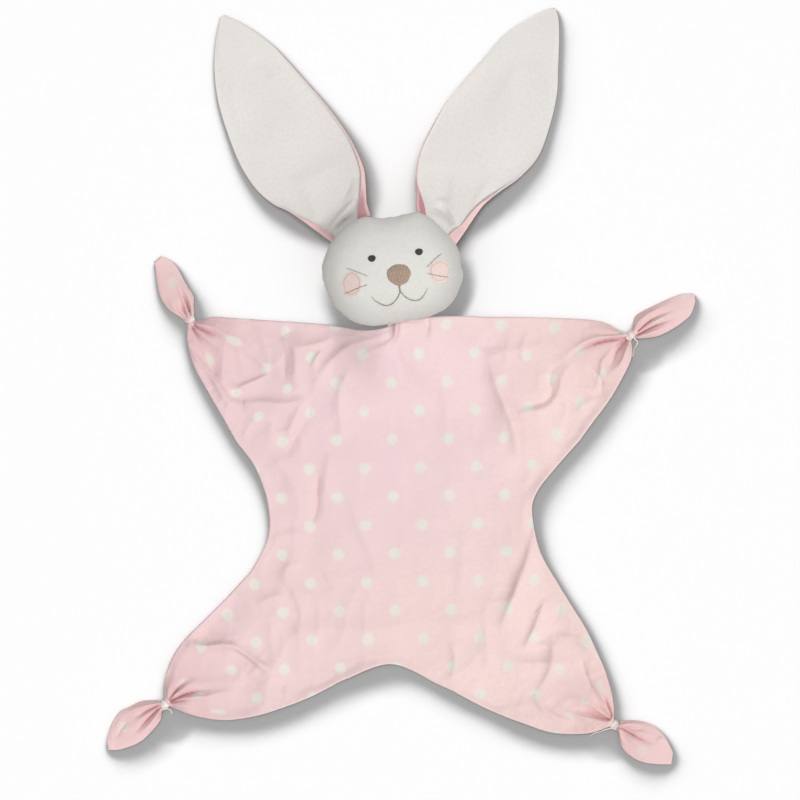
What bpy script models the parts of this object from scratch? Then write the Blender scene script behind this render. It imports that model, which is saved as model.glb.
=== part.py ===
"""A comfort blanket with a rabbit head, lying on its back as it is photographed.

Two layers of dotted cotton make a star with four limbs. White thread ties each limb off, and the corner
of the cloth beyond the tie is a loose leaf-shaped tip. A stuffed head with an embroidered face and two
long ears is sewn to the top edge. X runs to the right, Y to the top of the head and Z up from the surface
that the blanket lies on. The origin is under the middle of the whole shape.
"""

import math

import bmesh
import bpy
import numpy as np
from mathutils import Matrix, Vector

MM = 0.001

# Cloth, and the clearance between pieces that touch
CLOTH = 1.0 * MM
GAP = 0.3 * MM

# Blanket
TIES_ACROSS = 286.3 * MM
TIES_DOWN = 250.3 * MM
PUFF = 2.4 * MM
PLEAT_HEIGHT = 3.2 * MM
CREASE_HEIGHT = 1.8 * MM
CREASE_WIDTH = 9.0 * MM

# Neck, where the top edge of the blanket climbs to the seam of the head
NECK_RISE = 18.0 * MM
NECK_SPREAD = 30.0 * MM
NECK_RUN = 42.0 * MM
NECK_MARGIN = 3.0 * MM
TUCK_WIDTH = 22.0 * MM
TUCK_DEPTH = 7.0 * MM
TUCK_REACH = 0.9 * MM  # Past the edge of the blanket, towards the head

# Corner ties and tips
THREAD = 0.7 * MM
THREAD_SPACING = 0.45 * MM
BUNDLE_WIDTH = 4.6 * MM
BUNDLE_THICKNESS = 3.4 * MM
TIP_LENGTH = 44.5 * MM
TIP_WIDTH = 24.0 * MM
TIP_HEIGHT = 6.0 * MM
TIP_EDGE = 1.6 * MM

# Head
HEAD_WIDTH = 91.4 * MM
HEAD_TALL = 73.5 * MM
HEAD_DEPTH = 51.0 * MM

# Ears
EAR_LENGTH = 161.0 * MM
EAR_WIDTH = 68.0 * MM
EAR_CUP = 10.0 * MM
EAR_REST = 0.5 * MM

# Face embroidery
EYE_WIDTH = 5.0 * MM
NOSE_WIDTH = 15.3 * MM
NOSE_TALL = 13.6 * MM
SATIN = 1.0 * MM
CHEEK_WIDTH = 10.4 * MM
CHEEK_TALL = 12.2 * MM
CHEEK_CLOTH = 0.4 * MM
CHEEK_RING_WIDTH = 13.0 * MM
CHEEK_RING_TALL = 15.6 * MM
MOUTH_THREAD = 0.8 * MM
FACE_THREAD = 0.5 * MM

# Places on the photograph, in its pixels, and the distances that the sizes above were read from
CENTRE_PIXEL = (400.5, 386.5)
TIES_ACROSS_PIXELS = 440.5
TIES_DOWN_PIXELS = 385.0
HEAD_WIDE_PIXELS = 140.6
HEAD_TALL_PIXELS = 113.0
NECK_PIXEL = (404.4, 326.8)
HEAD_CENTRE_PIXEL = (392.3, 270.0)
NECK_SLOPE_DEGREES = 8.0
TORSO_TOP_PIXELS = (
    (330, 324), (352, 326.8), (375, 328.5), (404.4, 327.4), (422, 324.5), (440, 319.5), (462, 316.8),
    (490, 317),
)
TORSO_LEFT_PIXELS = ((236, 441), (256, 469), (268, 505), (268, 536), (254, 566), (240, 583))
TORSO_RIGHT_PIXELS = ((580, 440), (552, 472), (537, 492), (532, 512), (540, 551), (560, 587))
TORSO_BOTTOM_PIXELS = ((330, 687), (346, 679), (391.6, 664), (437.6, 684), (453, 691))
TORSO_CREASE_PIXELS = (
    ((385, 352), (352, 372), (320, 420)),
    ((318, 470), (322, 520), (312, 560)),
    ((490, 400), (512, 450), (502, 500)),
    ((505, 555), (498, 600), (470, 636)),
)

# Each limb: its two side edges, both from the fold line to the tie, so the fold line runs between their
# first points; the tie; the point that the tie's axis aims at; and the end of the tip
LIMB_PIXELS = {
    "arm_left": dict(
        first=((330, 324), (300, 322), (270, 320.5), (240, 318.5), (216, 317), (203, 319.5)),
        second=((236, 441), (223, 418), (208, 392), (195, 368), (188.5, 348), (187, 335)),
        tie=(190.5, 319.5), aim=(187.5, 310), end=(157, 257.5),
    ),
    "arm_right": dict(
        first=((490, 317), (519, 317), (555, 318), (591, 320), (608, 324), (617, 330)),
        second=((580, 440), (593, 422), (608, 402), (620, 382), (630, 362), (632, 350)),
        tie=(631, 334.6), aim=(639, 328.6), end=(695.5, 296),
    ),
    "leg_left": dict(
        first=((240, 583), (226, 598), (205, 619), (184, 640), (171, 660), (164.5, 682)),
        second=((330, 687), (310, 697), (284.5, 707), (255, 716), (223, 720), (192, 715)),
        tie=(163.8, 704), aim=(154.5, 707.7), end=(107, 749),
    ),
    "leg_right": dict(
        first=((560, 587), (573, 608), (585.5, 628), (597, 652), (606, 673.5), (613, 700)),
        second=((453, 691), (475, 703), (494, 712), (520, 722), (553, 732.5), (588, 733)),
        tie=(614.5, 724.5), aim=(623, 729.5), end=(671.5, 764),
    ),
}
PLEAT_COUNTS = {"arm_left": 2.5, "arm_right": 3.0, "leg_left": 3.0, "leg_right": 3.5}
TIP_LENGTH_SHARES = {"arm_left": 0.89, "arm_right": 1.0, "leg_left": 0.95, "leg_right": 0.9}
TIP_WIDTH_SHARES = {"arm_left": 0.76, "arm_right": 0.8, "leg_left": 0.97, "leg_right": 1.0}
# Half the width of a tip along its length, after the bundle that it starts as
TIP_ALONG_SHARES = (0.12, 0.25, 0.45, 0.65, 0.85, 1.0)
TIP_HALF_SHARES = (0.42, 0.80, 1.0, 0.93, 0.62, 0.16)

# Each ear: the stretch of the head's outline that it is sewn to, in degrees from +X, outer end first,
# and the ear's own end on the photograph
EAR_PIXELS = {
    "ear_left": dict(base_degrees=(155.0, 114.0), end=(222, 16.5)),
    "ear_right": dict(base_degrees=(22.0, 64.0), end=(555, 8.5)),
}
# How far an ear's outer and inner edges stand from its middle line, along the ear
EAR_ALONG_SHARES = (0.0, 0.12, 0.24, 0.34, 0.46, 0.60, 0.79, 0.92, 1.0)
EAR_EDGE_SHARES = {
    "ear_left": (
        (0.21, 0.33, 0.51, 0.58, 0.55, 0.51, 0.36, 0.20, 0.03),
        (0.20, 0.30, 0.42, 0.44, 0.42, 0.36, 0.26, 0.15, 0.03),
    ),
    "ear_right": (
        (0.21, 0.26, 0.32, 0.46, 0.53, 0.47, 0.30, 0.16, 0.03),
        (0.22, 0.36, 0.49, 0.51, 0.49, 0.42, 0.30, 0.17, 0.03),
    ),
}
EAR_DROP_SHARE = 0.42

# Face
EYE_PIXELS = {"eye_left": (371.8, 258.5), "eye_right": (419.0, 251.8)}
NOSE_PIXEL = (398.9, 274.7)
STEM_PIXELS = ((399.8, 287.6), (400.1, 289.4))
MOUTH_PIXELS = (
    (371.4, 296.3), (374.6, 300.2), (379.1, 303.1), (383.0, 304.9), (386.7, 305.6), (391.0, 304.4),
    (394.4, 301.8), (397.8, 297.3), (400.5, 293.2), (403.4, 295.8), (407.1, 298.0), (411.2, 300.0),
    (415.4, 300.5), (419.4, 299.6), (422.4, 297.3), (425.3, 293.0), (427.3, 288.2),
)
CHEEK_PIXELS = {"left": (351.7, 284.0), "right": (439.9, 271.2)}
WHISKER_PIXELS = {
    "whisker_left_upper": ((347.2, 268.4), (367.0, 275.9)),
    "whisker_left_lower": ((344.6, 293.3), (367.0, 284.8)),
    "whisker_right_upper": ((440.9, 254.0), (427.3, 266.7)),
    "whisker_right_lower": ((427.6, 273.8), (448.0, 277.2)),
}
FACE_TURN_DEGREES = 8.0

# Mesh density and turns
TORSO_COLUMNS = 16
TORSO_FOLD_ROWS = 7
TORSO_SIDE_ROWS = 6
LIMB_ROWS = 8
LIMB_COLUMNS = 12
LIMB_BACK_ROWS = 6
LIMB_BACK_COLUMNS = 4
TIP_SECTIONS = 9
RING_POINTS = 12
EAR_ROWS = 12
EAR_COLUMNS = 8
HEAD_SEGMENTS = 32
HEAD_RINGS = 14
STUFFING_SEGMENTS = 24
STUFFING_RINGS = 12
PAD_SEGMENTS = 20
LOOP_POINTS = 24
TIE_TURNS = 2.5
WHISKER_POINTS = 5

# Worked out from the sizes above
PIXEL_ACROSS = TIES_ACROSS / TIES_ACROSS_PIXELS
PIXEL_DOWN = TIES_DOWN / TIES_DOWN_PIXELS
HEAD_PIXEL_ACROSS = HEAD_WIDTH / HEAD_WIDE_PIXELS
HEAD_PIXEL_DOWN = HEAD_TALL / HEAD_TALL_PIXELS
FRONT_UNDERSIDE = CLOTH + GAP
FOLD_HEIGHT = FRONT_UNDERSIDE + PUFF + CLOTH
THREAD_PITCH = THREAD + THREAD_SPACING
WINDING_ACROSS = BUNDLE_WIDTH / 2 + GAP + THREAD / 2
WINDING_UP = BUNDLE_THICKNESS / 2 + GAP + THREAD / 2
WINDING_LENGTH = TIE_TURNS * THREAD_PITCH + THREAD
BUNDLE_HEIGHT = WINDING_UP + THREAD / 2 + GAP
SEAM_HEIGHT = HEAD_DEPTH / 2
NECK_FLAT = TUCK_WIDTH / 2 + NECK_MARGIN
NECK_FLAT_DEPTH = TUCK_DEPTH + NECK_MARGIN
TUCK_HEIGHT = NECK_RISE + FRONT_UNDERSIDE + CLOTH + GAP
HEAD_ROUNDNESS = 2.2


# Arithmetic of places


def smooth(share):
    """0 to 1 with level ends, as share goes from 0 to 1."""
    share = np.clip(share, 0, 1)
    return share * share * (3 - 2 * share)


def mix(first, second, share):
    return first + (second - first) * share


def unit(vector):
    return vector / np.linalg.norm(vector)


def left_of(direction):
    """A plane direction turned a quarter turn to the left."""
    return np.array((-direction[1], direction[0]))


def on_blanket(pixel):
    """X and Y of a pixel of the photograph that lies on the blanket."""
    across = (pixel[0] - CENTRE_PIXEL[0]) * PIXEL_ACROSS
    up = (CENTRE_PIXEL[1] - pixel[1]) * PIXEL_DOWN
    return np.array((across, up))


NECK_POINT = on_blanket(NECK_PIXEL)
NECK_SLOPE = math.radians(NECK_SLOPE_DEGREES)
NECK_ALONG = np.array((math.cos(NECK_SLOPE), math.sin(NECK_SLOPE)))
NECK_UP = left_of(NECK_ALONG)


def on_head(pixel):
    """X and Y of a pixel that lies on the head, whose places are counted from the neck."""
    across = (pixel[0] - NECK_PIXEL[0]) * HEAD_PIXEL_ACROSS
    up = (NECK_PIXEL[1] - pixel[1]) * HEAD_PIXEL_DOWN
    return NECK_POINT + NECK_UP * GAP + (across, up)


HEAD_CENTRE = on_head(HEAD_CENTRE_PIXEL)


def curve_through(points, count):
    """count points evenly along a smooth curve through the given ones, both ends included."""
    points = np.asarray(points, float)
    padded = np.vstack((2 * points[0] - points[1], points, 2 * points[-1] - points[-2]))
    share = np.linspace(0, 1, LOOP_POINTS, endpoint=False)[:, None]
    pieces = []
    for before, start, end, after in zip(padded, padded[1:], padded[2:], padded[3:]):
        slope = (end - before) * share
        bend = (2 * before - 5 * start + 4 * end - after) * share**2
        twist = (3 * start - before - 3 * end + after) * share**3
        pieces.append(start + (slope + bend + twist) / 2)
    dense = np.vstack(pieces + [points[-1]])
    steps = np.linalg.norm(np.diff(dense, axis=0), axis=1)
    along = np.concatenate(([0], np.cumsum(steps)))
    places = np.linspace(0, along[-1], count)
    return np.stack([np.interp(places, along, column) for column in dense.T], axis=1)


def table_curve(place, places, values):
    """A smooth curve through a table of values, read at each place."""
    places = np.asarray(places, float)
    values = np.asarray(values, float)
    slopes = np.gradient(values, places)
    k = np.clip(np.searchsorted(places, place, side="right") - 1, 0, len(places) - 2)
    span = places[k + 1] - places[k]
    t = np.clip((place - places[k]) / span, 0, 1)
    start = (1 + 2 * t) * (1 - t) ** 2 * values[k] + t * (1 - t) ** 2 * span * slopes[k]
    end = t * t * (3 - 2 * t) * values[k + 1] - t * t * (1 - t) * span * slopes[k + 1]
    return start + end


def between_edges(top, bottom, left, right):
    """The surface patch inside four edges, whose rows run from the left edge to the right one."""
    u = np.linspace(0, 1, len(top))[None, :, None]
    v = np.linspace(0, 1, len(left))[:, None, None]
    ruled = mix(top[None], bottom[None], v) + mix(left[:, None], right[:, None], u)
    corners = mix(mix(top[0], top[-1], u), mix(bottom[0], bottom[-1], u), v)
    return ruled - corners


# Scene, joints, materials and pieces


def clear_scene():
    for item in list(bpy.data.objects):
        bpy.data.objects.remove(item, do_unlink=True)


def make_material(name, colour, roughness):
    made = bpy.data.materials.new(name)
    made.use_nodes = True
    shader = made.node_tree.nodes["Principled BSDF"]
    shader.inputs["Base Color"].default_value = (*colour, 1.0)
    shader.inputs["Roughness"].default_value = roughness
    shader.inputs["Metallic"].default_value = 0.0
    return made


clear_scene()
PIECES = bpy.data.collections.new("comfort_blanket")
bpy.context.scene.collection.children.link(PIECES)
PLACES = {"root": Vector((0, 0, 0))}
EMPTIES = {"root": None}
DOTTED_COTTON = make_material("dotted_cotton", (0.88, 0.64, 0.66), 0.9)
WHITE_COTTON = make_material("white_cotton", (0.75, 0.74, 0.71), 0.9)
PINK_COTTON = make_material("pink_cotton", (0.87, 0.60, 0.60), 0.9)
STUFFING = make_material("stuffing", (0.85, 0.84, 0.80), 1.0)
WHITE_THREAD = make_material("white_thread", (0.84, 0.82, 0.80), 0.8)
TAN_THREAD = make_material("tan_thread", (0.43, 0.32, 0.25), 0.7)
DARK_THREAD = make_material("dark_thread", (0.05, 0.045, 0.04), 0.7)
ROSE_THREAD = make_material("rose_thread", (0.72, 0.42, 0.38), 0.7)
CHEEK_COTTON = make_material("cheek_cotton", (0.80, 0.60, 0.57), 0.9)


def joint(body, parent, place, axis):
    """An empty on the axis that a body turns about, from which its pieces hang."""
    empty = bpy.data.objects.new(body + "_axis", None)
    empty.empty_display_size = BUNDLE_WIDTH
    PIECES.objects.link(empty)
    empty.parent = EMPTIES[parent]
    PLACES[body] = Vector(place)
    EMPTIES[body] = empty
    empty.location = PLACES[body] - PLACES[parent]
    axis = Vector(axis).normalized()
    print("joint", body, [round(v, 5) for v in PLACES[body]], [round(v, 5) for v in axis])


def lifting_axis(outward):
    """The axis about which a positive turn lifts what lies outward of it."""
    return Vector((*outward, 0)).cross(Vector((0, 0, 1)))


def add_piece(name, data, body, look):
    """The object of a mesh or curve that was drawn in world places, with its origin on its body's axis."""
    data.transform(Matrix.Translation(-PLACES[body]))
    data.materials.append(look)
    item = bpy.data.objects.new(name, data)
    PIECES.objects.link(item)
    item.parent = EMPTIES[body]
    return item


def grid_mesh(name, points):
    """An open sheet over rows and columns of points, with its upper side out."""
    rows, columns = points.shape[:2]
    first, second = points[-1, 0] - points[0, 0], points[0, -1] - points[0, 0]
    if np.cross(first, second)[2] < 0:
        points = points[:, ::-1]
    corner = np.arange(rows * columns).reshape(rows, columns)
    quads = np.stack((corner[:-1, :-1], corner[1:, :-1], corner[1:, 1:], corner[:-1, 1:]), axis=-1)
    mesh = bpy.data.meshes.new(name)
    mesh.from_pydata(points.reshape(-1, 3).tolist(), [], quads.reshape(-1, 4).tolist())
    mesh.shade_smooth()
    return mesh


def add_sheet(name, points, body, look, side=1, thickness=CLOTH):
    """A cloth sheet on one side of a surface: above it with side 1, below it with side -1."""
    sheet = add_piece(name, grid_mesh(name, points), body, look)
    wall = sheet.modifiers.new("cloth", "SOLIDIFY")
    wall.thickness = thickness
    wall.offset = side
    return sheet


def add_loft(name, rings, body, look):
    """A closed skin over rings that have as many points each, with a flat cap at both ends."""
    sections, count = rings.shape[:2]
    shape = bmesh.new()
    corners = [[shape.verts.new(point) for point in ring] for ring in rings.tolist()]
    for near, far in zip(corners, corners[1:]):
        for k in range(count):
            after = (k + 1) % count
            shape.faces.new((near[k], near[after], far[after], far[k]))
    shape.faces.new(corners[0][::-1])
    shape.faces.new(corners[-1])
    bmesh.ops.recalc_face_normals(shape, faces=shape.faces)
    mesh = bpy.data.meshes.new(name)
    shape.to_mesh(mesh)
    shape.free()
    mesh.shade_smooth()
    mesh.set_sharp_from_angle(angle=math.radians(60))
    return add_piece(name, mesh, body, look)


def add_thread(name, points, thread, body, look, closed=False):
    """A round thread along a row of points."""
    curve = bpy.data.curves.new(name, "CURVE")
    curve.dimensions = "3D"
    curve.bevel_depth = thread / 2
    curve.bevel_resolution = 1
    curve.use_fill_caps = True
    line = curve.splines.new("POLY")
    line.points.add(len(points) - 1)
    for point, place in zip(line.points, points):
        point.co = (*place, 1)
    line.use_cyclic_u = closed
    return add_piece(name, curve, body, look)


def with_height(plane, height):
    """Points in the plane with their height added."""
    height = np.broadcast_to(height, plane.shape[:-1])
    return np.concatenate((plane, height[..., None]), axis=-1)


# Blanket


def neck_rise(plane):
    """How far the lower layer is lifted near the neck: level under the tuck, then down to the surface."""
    offset = plane - NECK_POINT
    across = (np.abs(offset @ NECK_ALONG) - NECK_FLAT) / NECK_SPREAD
    down = (-(offset @ NECK_UP) - NECK_FLAT_DEPTH) / NECK_RUN
    return NECK_RISE * (1 - smooth(across)) * (1 - smooth(down))


def fold_openness(share):
    """How far the two layers part along a fold line, 0 at its ends."""
    return smooth(np.minimum(share, 1 - share) / 0.3)


def torso_rows():
    return 2 * TORSO_FOLD_ROWS + TORSO_SIDE_ROWS


def edge_openness(row):
    """How far the layers part at the torso's left and right edges, by row: open along the fold lines and
    sewn shut between them, and shut at the top and bottom edges."""
    row = np.asarray(row, float)
    last = torso_rows()
    nearest = np.minimum(row, last - row)
    open_share = fold_openness(np.clip(nearest / TORSO_FOLD_ROWS, 0, 1))
    return open_share * smooth(nearest / 3)


def fold_line(pixels):
    """The ends of a limb's fold line, and the direction from the torso to the limb."""
    start, end = on_blanket(pixels["first"][0]), on_blanket(pixels["second"][0])
    outward = left_of(unit(end - start))
    if outward @ (on_blanket(pixels["tie"]) - start) < 0:
        outward = -outward
    return start, end, outward


def crease_height(plane):
    """Soft ridges along the torso's creases, fading at their ends."""
    height = np.zeros(plane.shape[:-1])
    for pixels in TORSO_CREASE_PIXELS:
        line = curve_through([on_blanket(pixel) for pixel in pixels], LOOP_POINTS)
        apart = np.linalg.norm(plane[..., None, :] - line, axis=-1)
        fade = np.sin(np.pi * apart.argmin(axis=-1) / (LOOP_POINTS - 1))
        height += CREASE_HEIGHT * fade * np.exp(-((apart.min(axis=-1) / CREASE_WIDTH) ** 2))
    return height


def torso_plane():
    """The torso's grid of points in the plane, a little inside its four fold lines."""
    sides = {}
    for side, concave, upper, lower in (
        ("left", TORSO_LEFT_PIXELS, "arm_left", "leg_left"),
        ("right", TORSO_RIGHT_PIXELS, "arm_right", "leg_right"),
    ):
        rows = []
        for limb in (upper, lower):
            start, end, outward = fold_line(LIMB_PIXELS[limb])
            share = np.linspace(0, 1, TORSO_FOLD_ROWS + 1)[:, None]
            rows.append(mix(start, end, share) - outward * GAP / 2)
        middle = curve_through([on_blanket(pixel) for pixel in concave], TORSO_SIDE_ROWS + 1)
        middle[0], middle[-1] = rows[0][-1], rows[1][0]
        sides[side] = np.vstack((rows[0], middle[1:-1], rows[1]))
    top = curve_through([on_blanket(pixel) for pixel in TORSO_TOP_PIXELS], TORSO_COLUMNS + 1)
    bottom = curve_through([on_blanket(pixel) for pixel in TORSO_BOTTOM_PIXELS], TORSO_COLUMNS + 1)
    top[0], top[-1] = sides["left"][0], sides["right"][0]
    bottom[0], bottom[-1] = sides["left"][-1], sides["right"][-1]
    return between_edges(top, bottom, sides["left"], sides["right"])


def make_torso():
    plane = torso_plane()
    rise = neck_rise(plane)
    near_neck = rise / NECK_RISE
    row = np.arange(torso_rows() + 1)[:, None]
    column = np.arange(TORSO_COLUMNS + 1)[None, :]
    from_side = np.minimum(column, TORSO_COLUMNS - column)
    from_end = np.minimum(row, torso_rows() - row)
    inside = smooth((from_side - 1) / 3)
    opened = mix(edge_openness(row), smooth(from_end / 3), inside)
    puff = PUFF * opened * (1 - near_neck)
    crease = crease_height(plane) * smooth((from_side - 1) / 2) * smooth(from_end / 3)
    # A sloping sheet is thicker measured straight up
    steps = np.gradient(rise), np.gradient(plane[..., 1], axis=0), np.gradient(plane[..., 0], axis=1)
    slope = np.hypot(steps[0][0] / steps[1], steps[0][1] / steps[2])
    apart = FRONT_UNDERSIDE * np.hypot(1, slope) + GAP * slope
    add_sheet("torso_back_panel", with_height(plane, rise), "root", DOTTED_COTTON)
    add_sheet("torso_front_panel", with_height(plane, rise + apart + puff + crease), "root", DOTTED_COTTON)


def tie_frame(limb):
    """The places along a limb's tie: its axis and the direction across it, where the limb ends, where the
    bundle swings, the middle of the winding, where the bundle ends and where the tip folds."""
    pixels = LIMB_PIXELS[limb]
    tie = on_blanket(pixels["tie"])
    axis = unit(on_blanket(pixels["aim"]) - tie)
    across = left_of(axis)
    if across @ (on_blanket(pixels["second"][-1]) - on_blanket(pixels["first"][-1])) < 0:
        across = -across
    half = WINDING_LENGTH / 2 + GAP
    swing = tie - axis * half
    bundle_end = tie + axis * half
    return dict(
        axis=axis,
        across=across,
        limb_end=swing - axis * (BUNDLE_WIDTH / 2 + GAP),
        swing=swing,
        winding_start=swing + axis * (GAP + THREAD / 2),
        bundle_end=bundle_end,
        fold=bundle_end + axis * (GAP + BUNDLE_THICKNESS / 2),
    )


def limb_plane(limb, rows, columns):
    """A limb's grid of points in the plane: rows from the fold line to the tie, columns side to side."""
    pixels, frame = LIMB_PIXELS[limb], tie_frame(limb)
    outward = fold_line(pixels)[2]
    sides = []
    for key, sign in (("first", -1), ("second", 1)):
        corner = frame["limb_end"] + frame["across"] * sign * BUNDLE_WIDTH / 2
        side = curve_through([on_blanket(pixel) for pixel in pixels[key]] + [corner], rows + 1)
        side[0] += outward * GAP / 2
        sides.append(side)
    share = np.linspace(0, 1, columns + 1)[None, :, None]
    return mix(sides[0][:, None], sides[1][:, None], share)


def limb_shares(rows, columns):
    along = np.linspace(0, 1, rows + 1)[:, None]
    across = np.linspace(0, 1, columns + 1)[None, :]
    return along, across, 4 * across * (1 - across)


def make_limb(limb):
    start, end, outward = fold_line(LIMB_PIXELS[limb])
    middle = (start + end) / 2
    joint(limb, "root", (*middle, FOLD_HEIGHT), lifting_axis(outward))

    along, across, crown = limb_shares(LIMB_BACK_ROWS, LIMB_BACK_COLUMNS)
    gather = smooth((along - 0.65) / 0.35)
    swell = (BUNDLE_THICKNESS / 2 - FRONT_UNDERSIDE) * crown
    tied = BUNDLE_HEIGHT - GAP / 2 - CLOTH - swell
    plane = limb_plane(limb, LIMB_BACK_ROWS, LIMB_BACK_COLUMNS)
    add_sheet(limb + "_back_panel", with_height(plane, tied * gather), limb, DOTTED_COTTON)

    along, across, crown = limb_shares(LIMB_ROWS, LIMB_COLUMNS)
    gather = smooth((along - 0.65) / 0.35)
    swell = (BUNDLE_THICKNESS / 2 - FRONT_UNDERSIDE) * crown
    fold_row = across * TORSO_FOLD_ROWS
    if limb.startswith("leg"):
        fold_row = torso_rows() - TORSO_FOLD_ROWS + fold_row
    opened = mix(edge_openness(fold_row), smooth(crown), smooth((along - 0.13) / 0.4))
    loose = FRONT_UNDERSIDE + PUFF * opened
    tied = BUNDLE_HEIGHT + GAP / 2 + swell
    ridge = (1 - np.cos(2 * np.pi * PLEAT_COUNTS[limb] * across)) / 2
    pleat = PLEAT_HEIGHT * ridge * np.sqrt(crown) * smooth((along - 0.13) / 0.5) * (1 - gather)
    height = mix(loose, tied, gather) + pleat
    plane = limb_plane(limb, LIMB_ROWS, LIMB_COLUMNS)
    add_sheet(limb + "_front_panel", with_height(plane, height), limb, DOTTED_COTTON)


def ring_at(centre, across, half_width, half_height):
    """An oval ring of points that stands upright across a bundle."""
    turn = 2 * np.pi * np.arange(RING_POINTS) / RING_POINTS
    plane = centre + across * (half_width * np.cos(turn))[:, None]
    return with_height(plane, BUNDLE_HEIGHT + half_height * np.sin(turn))


def least_gap(points, thread):
    """The least clear distance of a winding to its own next turns."""
    apart = np.linalg.norm(points[:, None] - points[None], axis=-1)
    place = np.arange(len(points))
    near = np.abs(place[:, None] - place[None]) < LOOP_POINTS / 2
    return np.where(near, np.inf, apart).min() - thread


def make_tie(limb):
    frame = tie_frame(limb)
    body = limb + "_tie"
    joint(body, limb, (*frame["swing"], BUNDLE_HEIGHT), (0, 0, 1))

    radius = BUNDLE_WIDTH / 2
    rings = []
    for share in (-0.97, -0.8, -0.45, 0.0):
        width_share = math.sqrt(1 - share * share)
        centre = frame["swing"] + frame["axis"] * radius * share
        half_height = BUNDLE_THICKNESS / 2 * (0.7 + 0.3 * width_share)
        rings.append(ring_at(centre, frame["across"], radius * width_share, half_height))
    rings.append(ring_at(frame["bundle_end"], frame["across"], radius, BUNDLE_THICKNESS / 2))
    add_loft(limb + "_gathered_neck", np.array(rings), body, DOTTED_COTTON)

    turn = np.arange(int(TIE_TURNS * LOOP_POINTS) + 1) / LOOP_POINTS
    centre = frame["winding_start"] + frame["axis"] * (turn * THREAD_PITCH)[:, None]
    plane = centre + frame["across"] * (WINDING_ACROSS * np.cos(2 * np.pi * turn))[:, None]
    points = with_height(plane, BUNDLE_HEIGHT + WINDING_UP * np.sin(2 * np.pi * turn))
    print("least gap in the winding of", limb, round(least_gap(points, THREAD) / MM, 3), "mm")
    add_thread(limb + "_tie_thread", points, THREAD, body, WHITE_THREAD)


def tip_ring(centre, across, half_width, bottom, height, valley):
    """A leaf-shaped ring: level below, and above it two soft swells beside a valley."""
    half_count = RING_POINTS // 2
    place = np.cos(np.pi * np.arange(half_count + 1) / half_count)
    swell = (1 - place**2) * (1 - valley * np.exp(-(((place - 0.1) / 0.25) ** 2)))
    edge = mix(height, min(height, TIP_EDGE), 0.7)
    top = bottom + edge / 2 + (height - edge / 2) * swell
    lower = bottom + edge / 2 * place[1:-1] ** 2
    places = np.concatenate((place, place[-2:0:-1]))
    heights = np.concatenate((top, lower[::-1]))
    return with_height(centre + across * (half_width * places)[:, None], heights)


def make_tip(limb):
    frame = tie_frame(limb)
    pixels = LIMB_PIXELS[limb]
    body = limb + "_tip"
    joint(body, limb + "_tie", (*frame["fold"], BUNDLE_HEIGHT), lifting_axis(frame["axis"]))

    length = TIP_LENGTH * TIP_LENGTH_SHARES[limb]
    start = frame["fold"]
    bend = start + frame["axis"] * length * 0.35
    end = start + unit(on_blanket(pixels["end"]) - on_blanket(pixels["tie"])) * length
    half_full = TIP_WIDTH * TIP_WIDTH_SHARES[limb] / 2
    widths = (BUNDLE_WIDTH / 2 / half_full, *TIP_HALF_SHARES)
    nose = BUNDLE_THICKNESS / 2
    rings = []
    for share in (-0.95, -0.6):
        half_height = nose * math.sqrt(1 - share * share)
        centre = start + frame["axis"] * nose * share
        rings.append(ring_at(centre, frame["across"], BUNDLE_WIDTH / 2, half_height))
    for place in np.linspace(0, 1, TIP_SECTIONS):
        centre = mix(mix(start, bend, place), mix(bend, end, place), place)
        forward = unit(mix(bend - start, end - bend, place))
        across = left_of(forward)
        if across @ frame["across"] < 0:
            across = -across
        half_width = half_full * table_curve(place, (0, *TIP_ALONG_SHARES), widths)
        settle = smooth(place / 0.3)
        bottom = mix(BUNDLE_HEIGHT - nose, GAP, settle)
        height = mix(2 * nose, TIP_HEIGHT, settle) * (1 - 0.65 * smooth((place - 0.5) / 0.5))
        if place == 0:
            rings.append(ring_at(centre, across, half_width, nose))
        else:
            rings.append(tip_ring(centre, across, half_width, bottom, height, 0.45 * settle))
    add_loft(limb + "_tip", np.array(rings), body, DOTTED_COTTON)


# Head


def head_radius(turn):
    """The distance from the head's middle to its outline, by direction."""
    across = np.abs(np.cos(turn)) / (HEAD_WIDTH / 2)
    up = np.abs(np.sin(turn)) / (HEAD_TALL / 2)
    return (across**HEAD_ROUNDNESS + up**HEAD_ROUNDNESS) ** (-1 / HEAD_ROUNDNESS)


def head_front(plane):
    """The height of the head's front over points in the plane."""
    offset = plane - HEAD_CENTRE
    turn = np.arctan2(offset[..., 1], offset[..., 0])
    share = np.clip(np.linalg.norm(offset, axis=-1) / head_radius(turn), 0, 1)
    return SEAM_HEIGHT + HEAD_DEPTH / 2 * (1 - share**HEAD_ROUNDNESS) ** (1 / HEAD_ROUNDNESS)


def head_form(name, segments, rings, inset, keep):
    """A swelling head shape from a sphere, inset from the head's surface: all of it, or only the half
    above or below the seam when keep is 1 or -1."""
    shape = bmesh.new()
    bmesh.ops.create_uvsphere(shape, u_segments=segments, v_segments=rings, radius=1)
    if keep:
        beyond = [vert for vert in shape.verts if vert.co.z * keep < -0.01]
        bmesh.ops.delete(shape, geom=beyond, context="VERTS")
    power = 2 / HEAD_ROUNDNESS
    for vert in shape.verts:
        flat = math.hypot(vert.co.x, vert.co.y)
        turn = math.atan2(vert.co.y, vert.co.x)
        reach = (float(head_radius(turn)) - inset) * flat**power
        rise = (HEAD_DEPTH / 2 - inset - GAP) * abs(vert.co.z) ** power
        side = math.copysign(1, vert.co.z) if abs(vert.co.z) > 0.01 else keep
        vert.co = (
            HEAD_CENTRE[0] + reach * math.cos(turn),
            HEAD_CENTRE[1] + reach * math.sin(turn),
            SEAM_HEIGHT + side * (rise + GAP),
        )
    mesh = bpy.data.meshes.new(name)
    shape.to_mesh(mesh)
    shape.free()
    mesh.shade_smooth()
    return mesh


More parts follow.
